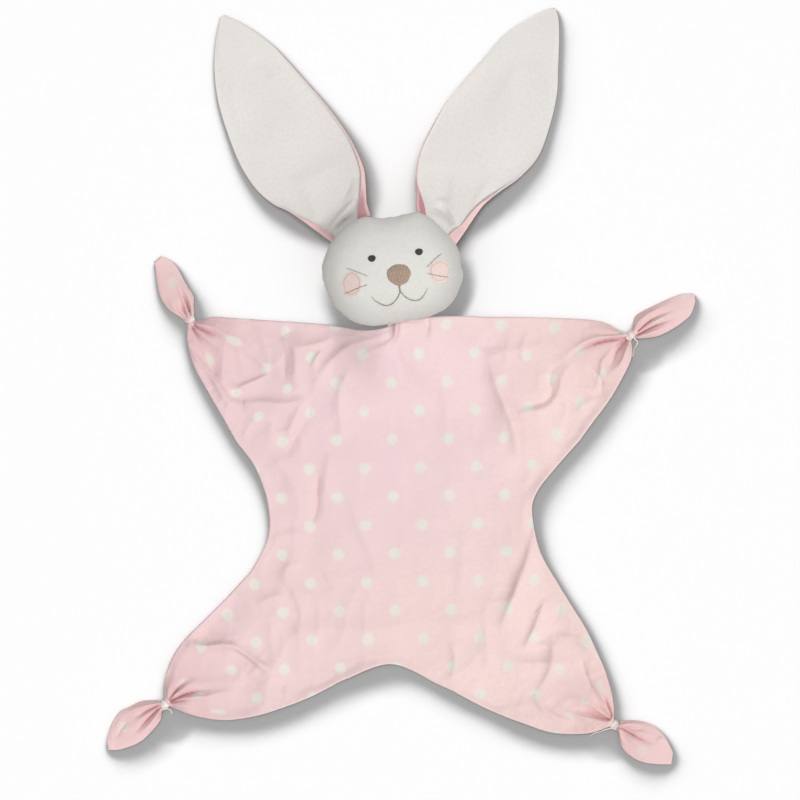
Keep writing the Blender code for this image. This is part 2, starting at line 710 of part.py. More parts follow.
def make_head():
    tuck_middle = NECK_POINT + NECK_UP * (TUCK_REACH - TUCK_DEPTH / 2)
    joint("neck", "root", (*tuck_middle, TUCK_HEIGHT), (0, 0, 1))
    joint("head", "neck", (*NECK_POINT, TUCK_HEIGHT + CLOTH), lifting_axis(NECK_UP))

    shape = bmesh.new()
    bmesh.ops.create_cube(shape, size=1)
    mesh = bpy.data.meshes.new("neck_tuck")
    shape.to_mesh(mesh)
    shape.free()
    sizes = Matrix.Diagonal((TUCK_WIDTH, TUCK_DEPTH, CLOTH, 1))
    turned = Matrix.Rotation(NECK_SLOPE, 4, "Z")
    middle = Vector((*(tuck_middle - NECK_UP * GAP / 2), TUCK_HEIGHT + CLOTH / 2))
    mesh.transform(Matrix.Translation(middle) @ turned @ sizes)
    add_piece("neck_tuck", mesh, "neck", DOTTED_COTTON)

    for name, keep in (("head_front_panel", 1), ("head_back_panel", -1)):
        shell = add_piece(name, head_form(name, HEAD_SEGMENTS, HEAD_RINGS, 0, keep), "head", WHITE_COTTON)
        wall = shell.modifiers.new("cloth", "SOLIDIFY")
        wall.thickness = CLOTH
        wall.offset = -1
    core = head_form("head_stuffing", STUFFING_SEGMENTS, STUFFING_RINGS, CLOTH + 2 * GAP, 0)
    add_piece("head_stuffing", core, "head", STUFFING)


def add_pad(name, centre, width, tall, thickness, look, taper=0.0):
    """An oval pad of stitches or cloth that follows the head's front, narrower below by taper."""
    turn = 2 * np.pi * np.arange(PAD_SEGMENTS) / PAD_SEGMENTS
    lean = math.radians(FACE_TURN_DEGREES)
    side, up = np.array((math.cos(lean), math.sin(lean))), np.array((-math.sin(lean), math.cos(lean)))
    outline = np.stack((np.cos(turn) * (1 + taper * np.sin(turn)), np.sin(turn)), axis=-1)
    outline = outline * (width / 2, tall / 2)
    edge = centre + outline[:, :1] * side + outline[:, 1:] * up
    # Below, out to the edge and back over a rounded top
    layers = ((0.0, 0.5), (0.0, 1.0), (0.55, 1.0), (0.85, 0.85), (1.0, 0.5))
    rings = []
    for height_share, reach_share in layers:
        plane = mix(centre, edge, reach_share)
        rings.append(with_height(plane, head_front(plane) + GAP + thickness * height_share))
    return add_loft(name, np.array(rings), "head", look)


def face_thread(name, plane, lift, thread, look, closed=False):
    """A stitch along the head's front whose thread lies lift above the cloth."""
    points = with_height(plane, head_front(plane) + GAP + lift + thread / 2)
    return add_thread(name, points, thread, "head", look, closed)


def make_face():
    for name, pixel in EYE_PIXELS.items():
        add_pad(name, on_head(pixel), EYE_WIDTH, EYE_WIDTH, SATIN, DARK_THREAD)
    add_pad("nose", on_head(NOSE_PIXEL), NOSE_WIDTH, NOSE_TALL, SATIN, TAN_THREAD, taper=0.12)
    stem = curve_through([on_head(pixel) for pixel in STEM_PIXELS], 3)
    face_thread("lip_stem", stem, 0, MOUTH_THREAD, TAN_THREAD)
    mouth = curve_through([on_head(pixel) for pixel in MOUTH_PIXELS], 2 * len(MOUTH_PIXELS) - 1)
    face_thread("mouth", mouth, 0, MOUTH_THREAD, TAN_THREAD)
    for side, pixel in CHEEK_PIXELS.items():
        centre = on_head(pixel)
        add_pad("cheek_" + side, centre, CHEEK_WIDTH, CHEEK_TALL, CHEEK_CLOTH, CHEEK_COTTON)
        turn = 2 * np.pi * np.arange(LOOP_POINTS) / LOOP_POINTS
        reach = np.array((CHEEK_RING_WIDTH, CHEEK_RING_TALL)) / 2
        ring = centre + np.stack((np.cos(turn), np.sin(turn)), axis=-1) * reach
        face_thread("cheek_ring_" + side, ring, 0, FACE_THREAD, ROSE_THREAD, closed=True)
    for name, ends in WHISKER_PIXELS.items():
        line = curve_through([on_head(pixel) for pixel in ends], WHISKER_POINTS)
        face_thread(name, line, FACE_THREAD + GAP, FACE_THREAD, TAN_THREAD)


# Ears


def ear_surface(ear):
    """The surface between an ear's two layers. Its first row lies round the head's seam; from there it
    drops to the surface below, with its edges cupped up where it leaves the head."""
    outer_degrees, inner_degrees = EAR_PIXELS[ear]["base_degrees"]
    along = np.linspace(0, 1, EAR_ROWS + 1)[:, None]
    across = np.linspace(-1, 1, EAR_COLUMNS + 1)[None, :]
    turn = np.radians(mix(outer_degrees, inner_degrees, (across + 1) / 2))[0]
    reach = (head_radius(turn) + 2 * GAP)[:, None]
    base = HEAD_CENTRE + reach * np.stack((np.cos(turn), np.sin(turn)), axis=-1)
    middle = (base[0] + base[-1]) / 2
    forward = unit(on_head(EAR_PIXELS[ear]["end"]) - middle)
    inward = left_of(forward)
    if inward @ (base[-1] - base[0]) < 0:
        inward = -inward
    outer, inner = [table_curve(along, EAR_ALONG_SHARES, shares) for shares in EAR_EDGE_SHARES[ear]]
    reach = np.where(across < 0, outer, inner) * across * EAR_WIDTH
    leaf = middle + forward * (along * EAR_LENGTH)[..., None] + inward * reach[..., None]
    straight = base[None] + forward * (along * EAR_LENGTH)[..., None]
    plane = mix(straight, leaf, smooth(along / 0.16)[..., None])
    low = EAR_REST + CLOTH + GAP / 2
    height = mix(SEAM_HEIGHT, low, smooth(along / EAR_DROP_SHARE))
    cup = smooth(along / 0.16) * (1 - smooth((along - 0.2) / 0.5))
    return with_height(plane, height + EAR_CUP * cup * np.abs(across) ** 2.5)


def surface_normals(points):
    down = np.gradient(points, axis=0)
    over = np.gradient(points, axis=1)
    normal = np.cross(down, over)
    normal *= np.sign(normal[..., 2].mean())
    return normal / np.linalg.norm(normal, axis=-1, keepdims=True)


def make_ear(ear):
    turn = np.radians(np.mean(EAR_PIXELS[ear]["base_degrees"]))
    outward = np.array((math.cos(turn), math.sin(turn)))
    hinge = HEAD_CENTRE + outward * (head_radius(turn) + GAP)
    step = np.radians(1)
    before, after = [
        head_radius(turn + side) * np.array((math.cos(turn + side), math.sin(turn + side)))
        for side in (-step, step)
    ]
    square = unit(left_of(unit(after - before)))
    if square @ outward < 0:
        square = -square
    joint(ear, "head", (*hinge, SEAM_HEIGHT + GAP / 2 + CLOTH), -lifting_axis(square))
    surface = ear_surface(ear)
    normals = surface_normals(surface)
    add_sheet(ear + "_lining", surface + normals * GAP / 2, ear, WHITE_COTTON, side=1)
    add_sheet(ear + "_back", surface - normals * GAP / 2, ear, PINK_COTTON, side=-1)


make_torso()
for limb_name in LIMB_PIXELS:
    make_limb(limb_name)
    make_tie(limb_name)
    make_tip(limb_name)
make_head()
make_face()
for ear_name in EAR_PIXELS:
    make_ear(ear_name)
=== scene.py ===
"""The looks of the comfort blanket: dotted cotton limbs gathered into thread ties, a stuffed rabbit head
with an embroidered face, and two lined ears. X runs to the right, Y to the top of the head and Z up."""

import math

import bpy
import numpy as np
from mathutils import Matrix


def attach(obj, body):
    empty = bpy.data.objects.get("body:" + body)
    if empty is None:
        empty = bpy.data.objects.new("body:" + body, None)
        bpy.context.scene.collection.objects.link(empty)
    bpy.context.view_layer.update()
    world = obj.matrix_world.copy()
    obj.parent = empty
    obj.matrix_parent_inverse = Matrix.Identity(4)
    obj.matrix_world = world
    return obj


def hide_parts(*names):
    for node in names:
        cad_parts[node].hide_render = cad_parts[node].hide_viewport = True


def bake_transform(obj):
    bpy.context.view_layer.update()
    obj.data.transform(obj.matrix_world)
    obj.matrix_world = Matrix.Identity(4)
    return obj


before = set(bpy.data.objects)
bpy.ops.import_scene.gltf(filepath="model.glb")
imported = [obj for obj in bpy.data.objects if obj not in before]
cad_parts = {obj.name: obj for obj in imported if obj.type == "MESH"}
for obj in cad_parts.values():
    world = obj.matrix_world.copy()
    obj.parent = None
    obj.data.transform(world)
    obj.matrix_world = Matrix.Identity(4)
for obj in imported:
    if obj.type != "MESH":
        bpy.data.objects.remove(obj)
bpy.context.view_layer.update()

MM = 0.001

# The photograph: the size of a pixel, the pixel at the part's origin, its side, and the lens that sees it
PIXEL = 0.65 * MM
CENTRE_PIXEL = (400.5, 386.5)
PHOTO_SIDE = 800
LENS = 250
SENSOR = 36
CAMERA_DISTANCE = PHOTO_SIDE * PIXEL * LENS / SENSOR

# Blanket: the height at which it lies, its rounded seam, the lift of its edge, the loft inside it, and how
# far from its edge the first rows of points lie
CLOTH_REST = 0.5 * MM
SEAM_THICK = 1.5 * MM
SEAM_EDGE = 0.5 * MM
SEAM_ROUND = 1.1 * MM
EDGE_LIFT = 1.9 * MM
EDGE_REACH = 11 * MM
LOFT = 1.3 * MM
LOFT_REACH = 26 * MM
RIM_STEPS = tuple(step * MM for step in (0, 0.12, 0.3, 0.55, 0.9, 1.4, 2.1))

# Waves and facets of the loose cloth, each with its height, its size and its seed. Then the points of the
# noise's lattice, the two coarser noises that shift the facets, the facets' mean and their rounded ridges.
WAVES = ((0.8 * MM, 34 * MM, 3), (0.35 * MM, 15 * MM, 5), (0.08 * MM, 5 * MM, 7))
FACETS = ((2.6 * MM, 38 * MM, 11), (1.3 * MM, 17 * MM, 17), (0.35 * MM, 8 * MM, 29))
NOISE_CELLS = 64
FACET_COARSE = 1.6
FACET_WANDER = 0.5
FACET_MEAN = 0.25
FACET_ROUND = 0.0012

# The pucker along the seam, and how far from the seam each kind of relief reaches its full height
PUCKER = 0.4 * MM
PUCKER_REACH = 4.5 * MM
PUCKER_START = 1.2 * MM
PUCKER_SEED = 23
LOOSE_START = 7 * MM
TIE_SWELL_START = 6 * MM
FOLD_START = 2.5 * MM

# The middle of the blanket, where it lies smoothest, as a pixel and the half width and height there
CALM_PIXEL = (402, 500)
CALM_PIXELS = (92, 150)

# Neck, where the top edge climbs to the seam of the head
NECK_RISE = 21.0 * MM
NECK_FLAT = 12 * MM
NECK_SPREAD = 41 * MM
NECK_RUN = 58 * MM
NECK_SLOPE = math.radians(8)

# Ties: the cloth inside the thread, how far the thread reaches each way, the swell and the painted shade
# around it
BUNDLE_HEIGHT = 3.0 * MM
BUNDLE_WIDTH = 5.0 * MM
BUNDLE_THICK = 3.6 * MM
BUNDLE_ENDS = (-4.2 * MM, 4.6 * MM)
BUNDLE_FLUTES = 9
THREAD = 0.82 * MM
TIE_TURNS = 4
TIE_HALF = 2.1 * MM
TIE_SWELL = 2.8 * MM
TIE_SWELL_REACH = 19 * MM
TIE_SHADE = 0.36
TIE_SHADE_REACH = 38 * MM

# Limbs: where along them the gathering and the last folds set in, their flutes, and the spread of the print
GATHER_START = 0.88
FOLDS_END = 0.95
LIMB_FLUTE = 0.4 * MM
LIMB_FLUTES = 4.5
PRINT_SPREAD = 1.9
PRINT_SPREAD_START = 0.45

# Tips: how high they stand and what share of that their own thickness is, how wide they lie flat, the share
# of their length over which they open, how much their folds are raised, how low they lie and how far their
# edges lift, where the rounding of their end sets in, and how near an edge their relief fades
TIP_HEIGHT = 5.4 * MM
TIP_SPREAD = 0.72
TIP_FLAT_WIDTH = 24 * MM
TIP_OPEN = 0.22
TIP_FOLD_RISE = 1.35
TIP_REST = 0.6 * MM
TIP_EDGE_LIFT = 0.8 * MM
TIP_END = 0.94
TIP_END_ROUND = 0.03
TIP_FREE = 0.12
# The height and the size of the small ripples and of the facets on them
TIP_RIPPLE = (0.35 * MM, 9 * MM)
TIP_FACETS = (0.5 * MM, 11 * MM)

# Head: the roundness of its sides, the heights of its seam, front and back, its lumps, how near its poles its
# rings start and how they crowd at the seam, the pinch and the gathers there, the ring that the gathers'
# noise is read on, and how low its pressed underside lies
HEAD_ROUNDNESS = 2.2
SEAM_HEIGHT = 25.5 * MM
HEAD_FRONT = 25.5 * MM
HEAD_BACK = 25.3 * MM
HEAD_LUMPS = ((0.6 * MM, 26 * MM, 31), (0.2 * MM, 10 * MM, 37))
HEAD_POLE = 0.012
HEAD_CROWD = 0.175
HEAD_PINCH = 0.7 * MM
HEAD_PINCH_REACH = 1.3 * MM
HEAD_GATHERS = 0.55 * MM
HEAD_GATHERS_REACH = 6.5 * MM
HEAD_GATHER_LAYERS = ((1, 3.4 * MM, 41), (0.6, 7 * MM, 43))
HEAD_RING = 46 * MM
HEAD_REST = 1.5 * MM
HEAD_REST_LOW = 0.35 * MM
# How far the stuffing pushes the head's front out, and the simulation that shapes it: its copy's points, its
# even mesh, the blur and the most of what it adds, its air and its cloth, and its frames
HEAD_SWELL = 3 * MM
SWELL_AROUND = 56
SWELL_OVER = 28
SWELL_POLE = 0.02
SWELL_VOXEL = 4 * MM
SWELL_BLUR = 3.6 * MM
SWELL_CAP = 5 * MM
SWELL_PRESSURE = 450
SWELL_STIFFNESS = 1
SWELL_SHEAR = SWELL_STIFFNESS / 3
SWELL_BENDING = SWELL_STIFFNESS / 20
SWELL_FRAMES = 20
# How many places are worked out at a time
SWELL_PART = 4000

# Pleat at the neck: how far it lies clear of the folds below, how thick it is, and how deep its underside
# reaches into them
PLEAT_CLEAR = 0.1 * MM
PLEAT_THICK = 0.7 * MM
PLEAT_SINK = 0.5 * MM
# How far its own print is shifted, so that no dot falls on it
PLEAT_SHIFT = (9.1 * MM, 0)

# Ears: the thickness of each cloth and half the gap between the two, the roll at their edges, the hollow
# along their middle, and their relief
EAR_CLOTH = 0.45 * MM
EAR_GAP = 0.05 * MM
EAR_ROLL = 3.0 * MM
EAR_HOLLOW = 1.2 * MM
EAR_WAVES = ((0.55 * MM, 30 * MM, 53),)
EAR_FACETS = ((0.8 * MM, 34 * MM, 57),)
# The half width and the length of the flat cloth that the ear's weave is laid on
EAR_WEAVE = (33 * MM, 160 * MM)

# Light: the sky at its lowest, overhead and as the camera sees it. Each lamp's strength, its spread, and the
# direction that its light comes from, as a turn from +X and an elevation, all in degrees.
SKY_LOW = 0.12
SKY_HIGH = 0.82
SKY_SEEN = 0.98
LAMPS = {"key": (1.62, 20, -36, 56), "head_light": (2.06, 30, -32, 76), "overhead": (1.77, 20, 118, 82)}

# Paper: its white, its size, how far it lies below the blanket, and its drawn shadow
PAPER = 0.86
PAPER_REACH = 9.0
PAPER_DROP = 0.2 * MM
SHADOW_FROM = (-0.37, 0.92, 0.12)
SHADOW_REACH = 23.5 * MM
SHADOW_FULL = 0.835
SHADOW_NONE = 0.965
SHADOW_GREY = 0.40
SHADOW_SAMPLES = 48

# Mesh density
TORSO_ACROSS = 186
TORSO_RIM_WIDTH = 200 * MM
FOLD_STEPS = 86
SIDE_STEPS = 56
LIMB_STEPS = 140
BUNDLE_STEPS = 40
BUNDLE_AROUND = 48
TIP_STEPS = 60
TIP_END_STEPS = 10
TIP_ACROSS = 64
PLEAT_ACROSS = 90
PLEAT_DOWN = 44
HEAD_AROUND = 224
HEAD_OVER = 120
EAR_STEPS = 150
EAR_ACROSS = 112
THREAD_SIDES = 10
THREAD_STEPS = 40

# The torso's four free edges
TORSO_TOP_PIXELS = (
    (330, 325), (345, 327.4), (356, 329.6), (366, 330.4), (376, 329.8), (385, 327.8), (392, 325.4),
    (398, 322.4), (406, 320.6), (418, 319.2), (428, 317.6), (440, 316.6), (452, 316.3), (470, 316.4),
    (490, 317),
)
TORSO_LEFT_PIXELS = ((236, 441), (256, 469), (268, 505), (268, 536), (254, 566), (240, 583))
TORSO_RIGHT_PIXELS = ((580, 440), (552, 472), (537, 492), (532, 512), (540, 551), (560, 587))
TORSO_BOTTOM_PIXELS = ((330, 687), (346, 679), (391.6, 664), (437.6, 684), (453, 691))
NECK_PIXEL = (404.4, 326.8)

# Each limb: its two side edges, the middle and the axis of its tie, the thread's loose end, and the two
# edges of its tip
LIMB_PIXELS = {
    "arm_left": dict(
        first=((330, 325), (300, 322.4), (270, 320.5), (240, 318.5), (216, 317), (203, 319.5)),
        second=((236, 441), (223, 418), (208, 392), (195, 368), (188.5, 348), (187, 335)),
        tie=(190.5, 319.5), aim=(187.5, 310), tail=((195, 322.5), (198, 324.5), (200.5, 324)),
        tip_first=((187, 323.5), (182, 318.4), (169, 309.5), (160.8, 297.4), (157, 281.5), (155.7, 268.7),
                   (153.8, 262)),
        tip_second=((194, 315), (193.8, 306), (193.4, 296), (185.7, 283.4), (176.8, 266.8), (168.5, 259),
                    (161, 256)),
    ),
    "arm_right": dict(
        first=((490, 317), (519, 317), (555, 318), (591, 320), (608, 324), (617, 330)),
        second=((580, 440), (593, 422), (608, 402), (620, 382), (630, 362), (632, 350)),
        tie=(631, 334.6), aim=(639, 328.6),
        tail=((634.5, 339), (637, 341.5), (636.5, 345), (633.5, 350), (632.5, 357)),
        tip_first=((633, 324), (634.5, 317), (640.7, 312), (656, 304.4), (679.3, 294.6), (694, 293.5)),
        tip_second=((636.5, 338.4), (647, 338), (658.2, 336), (670.2, 330.4), (682.8, 322), (691.2, 313.5),
                    (695.2, 301)),
    ),
    "leg_left": dict(
        first=((240, 583), (226, 598), (205, 619), (184, 640), (171, 660), (164.5, 682)),
        second=((330, 687), (310, 697), (284.5, 707), (255, 716), (223, 720), (192, 715)),
        tie=(164.3, 704.3), aim=(156.4, 710.2), tail=((168, 708.5), (171, 710.5), (172, 714)),
        tip_first=((158.8, 700), (141.4, 701), (129.8, 706.5), (119, 712), (110.7, 726), (106.6, 741)),
        tip_second=((162, 710), (160.5, 720), (152, 731), (139.8, 742), (121.5, 749), (108.5, 749.8)),
    ),
    "leg_right": dict(
        first=((560, 587), (573, 608), (585.5, 628), (597, 652), (606, 673.5), (613, 700)),
        second=((453, 691), (475, 703), (494, 712), (520, 722), (553, 732.5), (588, 733)),
        tie=(614.5, 724.5), aim=(623, 729.5),
        tail=((612.5, 728), (606, 729), (600, 731.5), (594, 733), (590, 736)),
        tip_first=((622, 720.6), (639.6, 720.6), (653.7, 725.6), (665, 737), (672.8, 752)),
        tip_second=((618, 732), (619, 740), (623, 749), (632, 757), (643, 762), (657, 764), (671.2, 764)),
    ),
}

# The side that the folds' steep flanks face
STEEP_SIDE = (-0.82, 0.57)

# Folds and creases of the blanket, each a line on the photograph with its height, its width at both ends,
# and whether it starts at its full height, as a fold that leaves a tie does. A crease has a height below 0.
CREASES = (
    # Arm on the left
    (((193, 324), (198, 327.5), (204, 330.5), (210, 333), (217, 335.5), (226, 340)), -5.2, 1.6, 2.0, True),
    (((192, 327), (195.5, 333), (199, 339), (204, 345)), -3.2, 1.1, 2.4, True),
    (((194, 322), (204, 325.5), (216, 329), (232, 338), (250, 349), (268, 369)), 3.0, 1.6, 5.0, True),
    (((193, 325), (201, 333), (211, 342), (224, 350), (240, 356)), 2.6, 1.3, 4.0, True),
    (((188, 345), (194, 350), (203, 359), (213, 371), (222, 384), (231, 396)), -2.6, 1.8, 1.8, False),
    (((187, 340), (192, 352), (206, 369), (217, 385), (228, 401), (242, 403)), 3.0, 1.6, 3.0, False),
    (((232, 390), (238, 398), (246, 402)), -2.2, 1.4, 1.4, False),
    (((228, 345), (245, 351), (262, 364), (270, 372)), 1.8, 2.0, 1.6, False),
    (((270, 374), (254, 381), (238, 388), (232, 393)), 2.4, 1.4, 2.0, False),
    (((287, 334), (293, 346), (296, 362), (295, 378), (300, 392)), 4.0, 4.6, 5.4, False),
    (((283, 344), (285, 362), (285, 384)), -1.4, 3.2, 3.2, False),
    (((292, 347), (306, 346), (320, 343), (334, 337)), 1.8, 2.4, 3.4, False),
    (((322, 350), (316, 358), (312, 367)), 1.8, 1.4, 1.6, False),
    (((243, 404), (262, 402), (284, 404), (306, 399)), 3.4, 3.6, 4.4, False),
    (((306, 396), (298, 412), (290, 430), (284, 450)), 2.6, 3.4, 4.4, False),
    # Neck and torso
    (((396, 320), (396.5, 328), (395, 337), (387, 345), (372, 351), (356, 362)), 3.4, 1.5, 3.6, True),
    (((399, 322), (398.6, 330), (396, 338), (388, 347)), -2.6, 1.1, 1.8, False),
    (((392, 332), (375, 339), (352, 345), (336, 356), (321, 374), (312, 398)), 2.6, 2.4, 5.0, False),
    (((427.5, 317), (428, 327), (425, 338)), -1.6, 1.4, 2.4, False),
    (((431, 318), (432, 332), (430, 350)), 1.4, 2.4, 4.0, True),
    (((352, 366), (342, 384), (339, 402), (341, 424), (339, 440)), 2.4, 3.6, 4.6, False),
    (((312, 398), (306, 420), (294, 440), (284, 462)), -2.2, 4.0, 4.6, False),
    (((318, 474), (317, 492), (317, 508), (312, 524)), -2.8, 2.0, 2.4, False),
    (((330, 452), (326, 476), (324, 500)), 1.8, 3.6, 5.0, False),
    (((350, 500), (360, 530), (372, 556), (378, 580)), 1.4, 4.0, 4.6, False),
    (((283, 566), (294, 590), (302, 616), (296, 640)), 2.0, 3.6, 4.0, False),
    (((300, 560), (318, 572), (330, 590)), -1.2, 3.6, 3.6, False),
    (((266, 541), (290, 534), (312, 536)), 1.4, 1.8, 3.6, False),
    (((488, 348), (494, 378), (504, 404), (514, 430), (519, 464)), 5.0, 4.6, 5.2, False),
    (((506, 372), (511, 398), (520, 430), (521, 470)), -2.0, 2.8, 2.8, False),
    (((440, 380), (446, 410), (447, 446)), 1.1, 4.5, 5.5, False),
    (((400, 350), (416, 372), (432, 380)), 1.1, 4.0, 5.0, False),
    (((532, 530), (526, 560), (517, 586), (510, 604), (500, 630)), 4.4, 3.0, 4.0, False),
    (((534, 520), (527, 548), (519, 574)), -1.8, 2.6, 3.0, False),
    (((470, 520), (462, 560), (470, 610)), 1.1, 6.0, 7.0, False),
    (((450, 640), (455, 665), (448, 684)), 1.4, 2.6, 3.6, False),
    # Arm on the right
    (((629, 337), (619, 339.5), (607, 340.5), (597, 343), (586, 346.5), (573, 354), (562, 363)),
     -4.6, 1.2, 2.4, True),
    (((629, 335), (612, 336), (594, 338.5), (578, 346), (566, 356), (556, 366), (548, 380)),
     2.4, 1.5, 4.0, True),
    (((564, 361), (553, 370), (549, 380), (552, 391), (547, 400), (536, 404.5), (520, 406)),
     -1.9, 1.9, 2.4, False),
    (((576, 360), (564, 372), (560, 386), (556, 398), (545, 408), (526, 412), (512, 417)),
     2.5, 3.2, 2.8, False),
    (((628, 338), (622, 341.5), (617, 346), (611, 351)), -4.8, 1.4, 2.0, True),
    (((629, 339), (622, 345), (616, 352), (613, 360), (606, 372)), -2.8, 0.9, 2.0, True),
    (((631, 338), (626, 350), (620, 364), (610, 374), (603, 386)), 2.8, 1.4, 3.2, True),
    (((610, 352), (602, 361), (600, 374), (596, 390)), 2.0, 1.6, 2.6, False),
    (((586, 365), (594, 371), (601, 380), (600, 392), (592, 398)), -2.0, 1.6, 2.0, False),
    (((627, 333), (612, 331), (600, 327), (588, 324)), 2.0, 1.3, 3.0, True),
    (((626, 332), (614, 334.5), (600, 334), (590, 332)), -2.0, 1.0, 2.6, True),
    (((602, 396), (585, 404), (570, 418)), 1.5, 3.0, 4.0, False),
    (((530, 330), (522, 346), (524, 362)), 1.6, 3.2, 4.4, False),
    # Leg on the left
    (((168, 701), (172.5, 695), (178, 688.5), (185, 681), (191, 675.5)), -3.8, 1.0, 1.8, True),
    (((168, 702), (176, 698.5), (183, 695), (191, 692.5), (199, 690.5), (216, 688)), -5.0, 1.4, 1.8, True),
    (((169, 703), (176, 701), (185, 700), (193, 702), (199, 705.5)), -3.2, 1.0, 1.6, True),
    (((167, 700), (175, 694), (184, 688), (194, 681), (206, 676)), 2.4, 1.3, 3.0, True),
    (((168, 703), (180, 698.6), (192, 697), (206, 696), (226, 692), (250, 694)), 2.8, 1.2, 3.4, True),
    (((168, 698), (169, 688), (174, 676)), 1.8, 1.2, 3.0, True),
    (((169, 706), (184, 705), (198, 708)), 1.8, 1.2, 2.4, True),
    (((187, 641), (206, 646), (228, 644), (246, 654), (262, 665), (274, 672)), 4.6, 2.2, 2.6, False),
    (((232, 648), (250, 662), (264, 674)), -2.4, 2.4, 2.4, False),
    (((248, 676), (256, 668), (262, 660)), 1.8, 2.6, 3.6, False),
    (((255, 604), (274, 596), (288, 594)), 1.4, 2.2, 3.6, False),
    (((284, 686), (288, 700)), 1.2, 2.0, 2.6, False),
    # Leg on the right
    (((612, 720), (606, 718), (599, 715.2), (592, 712.8), (582, 709.5), (572, 707)), -5.2, 1.7, 2.2, True),
    (((613, 718), (610, 711), (607, 703.5), (605, 696), (601, 687)), -5.0, 1.5, 1.9, True),
    (((612, 717), (605, 710), (598, 702), (592, 693)), -2.2, 1.0, 2.0, True),
    (((612, 719), (602, 713), (592, 705), (578, 699), (560, 697)), 2.6, 1.3, 3.4, True),
    (((613, 718), (608, 707), (600, 694), (590, 678), (580, 658)), 2.6, 1.3, 3.2, True),
    (((611, 722), (598, 719.5), (582, 716), (566, 711), (550, 703)), 2.6, 1.3, 3.4, True),
    (((557, 633), (575, 639), (590, 649), (598, 660)), 2.2, 2.2, 2.4, False),
    (((581, 657), (585, 672), (592, 688)), -2.0, 1.8, 2.0, False),
    (((552, 634), (553, 660), (546, 678), (536, 694)), 2.6, 3.6, 3.8, False),
    (((533, 694), (542, 708), (558, 717), (574, 721)), 2.4, 2.0, 2.2, False),
    (((545, 598), (537, 621), (531, 635), (523, 652)), 3.0, 2.6, 3.4, False),
)

# Head outline from the photograph, starting at the right and going up
HEAD_CENTRE_PIXEL = (392.3, 270)
HEAD_PIXELS = (
    (462.6, 272), (461.4, 262), (458.6, 251.5), (454.6, 242.5), (447, 233), (437, 223.5), (426, 215.5),
    (417, 212.6), (406.7, 213.6), (394, 216.4), (383.3, 218), (373, 217.4), (364, 217), (352, 222.5),
    (340, 231.8), (330.8, 243), (326, 252), (323, 261.7), (322, 271), (323, 281), (326.4, 291),
    (331.5, 301.7), (338.3, 310.4), (346.7, 317.4), (356.7, 322.6), (368.3, 325.6), (380, 325.6),
    (393.3, 324.0), (406.7, 321.6), (420, 319.2), (431.7, 316), (442.5, 311), (450.5, 304.6),
    (456.6, 296), (460.4, 287), (462.3, 279.5),
)

# Each ear: its two edges from the head to its tip, and at stations along both how far the cloth rolls up
# in degrees, how wide its turned flap is in mm, and how deep a shade lies under it
EAR_PIXELS = {
    "ear_left": dict(
        outer=((333, 243), (318, 232), (304, 221.5), (288, 211), (273, 204), (256, 189), (240, 164),
               (227, 131), (218, 100), (214.5, 68), (216, 40), (219.5, 21), (222, 16.5)),
        inner=((370, 217), (366.5, 205), (365.5, 195), (364.8, 182), (362.4, 167), (350.5, 141), (328.5, 109),
               (304, 80), (273, 46), (246, 26), (228, 16.8), (222, 16.5)),
        curl=((178, 176, 172, 140, 40, 12, 8, 6), (180, 180, 178, 170, 150, 105, 60, 8)),
        flap=((2.2, 2.4, 2.2, 1.0, 0, 0, 0, 0), (7.4, 5.6, 3.0, 1.6, 0.9, 0.3, 0, 0)),
        cavity=(0.35, 0.75),
    ),
    "ear_right": dict(
        outer=((454, 246.5), (464, 232), (474, 217), (484, 204), (500, 191), (520, 177), (539, 155),
               (551, 121), (557, 92), (558, 68), (559, 42), (558.4, 20), (555.5, 8.5)),
        inner=((418, 214), (416.6, 205), (417, 194), (416.4, 182), (418, 166), (421.5, 150), (433, 126),
               (450, 97), (481, 61), (505, 34), (530, 17.5), (547, 9.5), (555.5, 8.5)),
        curl=((180, 178, 176, 170, 130, 40, 10, 6), (180, 180, 172, 120, 96, 60, 12, 8)),
        flap=((5.6, 4.4, 2.4, 1.8, 1.0, 0.2, 0, 0), (5.6, 5.0, 1.6, 0.2, 0, 0, 0, 0)),
        cavity=(0.0, 1.0),
    ),
}
# Stations along an ear for its roll and its flap, and for how high it lies
EAR_CURL_SHARES = (0.0, 0.04, 0.08, 0.13, 0.20, 0.30, 0.45, 1.0)
EAR_DROP_SHARES = (0.0, 0.035, 0.07, 0.12, 0.20, 0.32, 0.50, 0.75, 1.0)
EAR_DROP_HEIGHTS = tuple(height * MM for height in (24.5, 20.5, 16.0, 13.0, 9.0, 4.6, 2.2, 1.6, 1.5))

# Face: where each part of it is seen, its turn, how far the parts reach from their middles, the widths of the
# threads, and how high the face lies
EYE_PIXELS = {"eye_left": (371.8, 258.5), "eye_right": (419.0, 251.8)}
NOSE_PIXEL = (398.9, 274.7)
FACE_TURN = math.radians(8)
EYE_REACH = (2.55 * MM, 2.193 * MM)
NOSE_REACH = (7.7 * MM, 6.8 * MM)
STEM_PIXELS = ((399.4, 284.6), (399.6, 288.0), (400.3, 292.4))
MOUTH_PIXELS = (
    (371.4, 296.3), (374.6, 300.2), (379.1, 303.1), (383.0, 304.9), (386.7, 305.6), (391.0, 304.4),
    (394.4, 301.8), (397.8, 297.3), (400.5, 292.2), (403.4, 295.2), (407.1, 298.0), (411.2, 300.0),
    (415.4, 300.5), (419.4, 299.6), (422.4, 297.3), (425.3, 293.0), (427.3, 288.2),
)
CHEEK_PIXELS = {"left": (351.7, 284.0), "right": (439.9, 271.2)}
CHEEK_REACH = (5.3 * MM, 6.2 * MM)
RING_REACH = (6.4 * MM, 7.7 * MM)
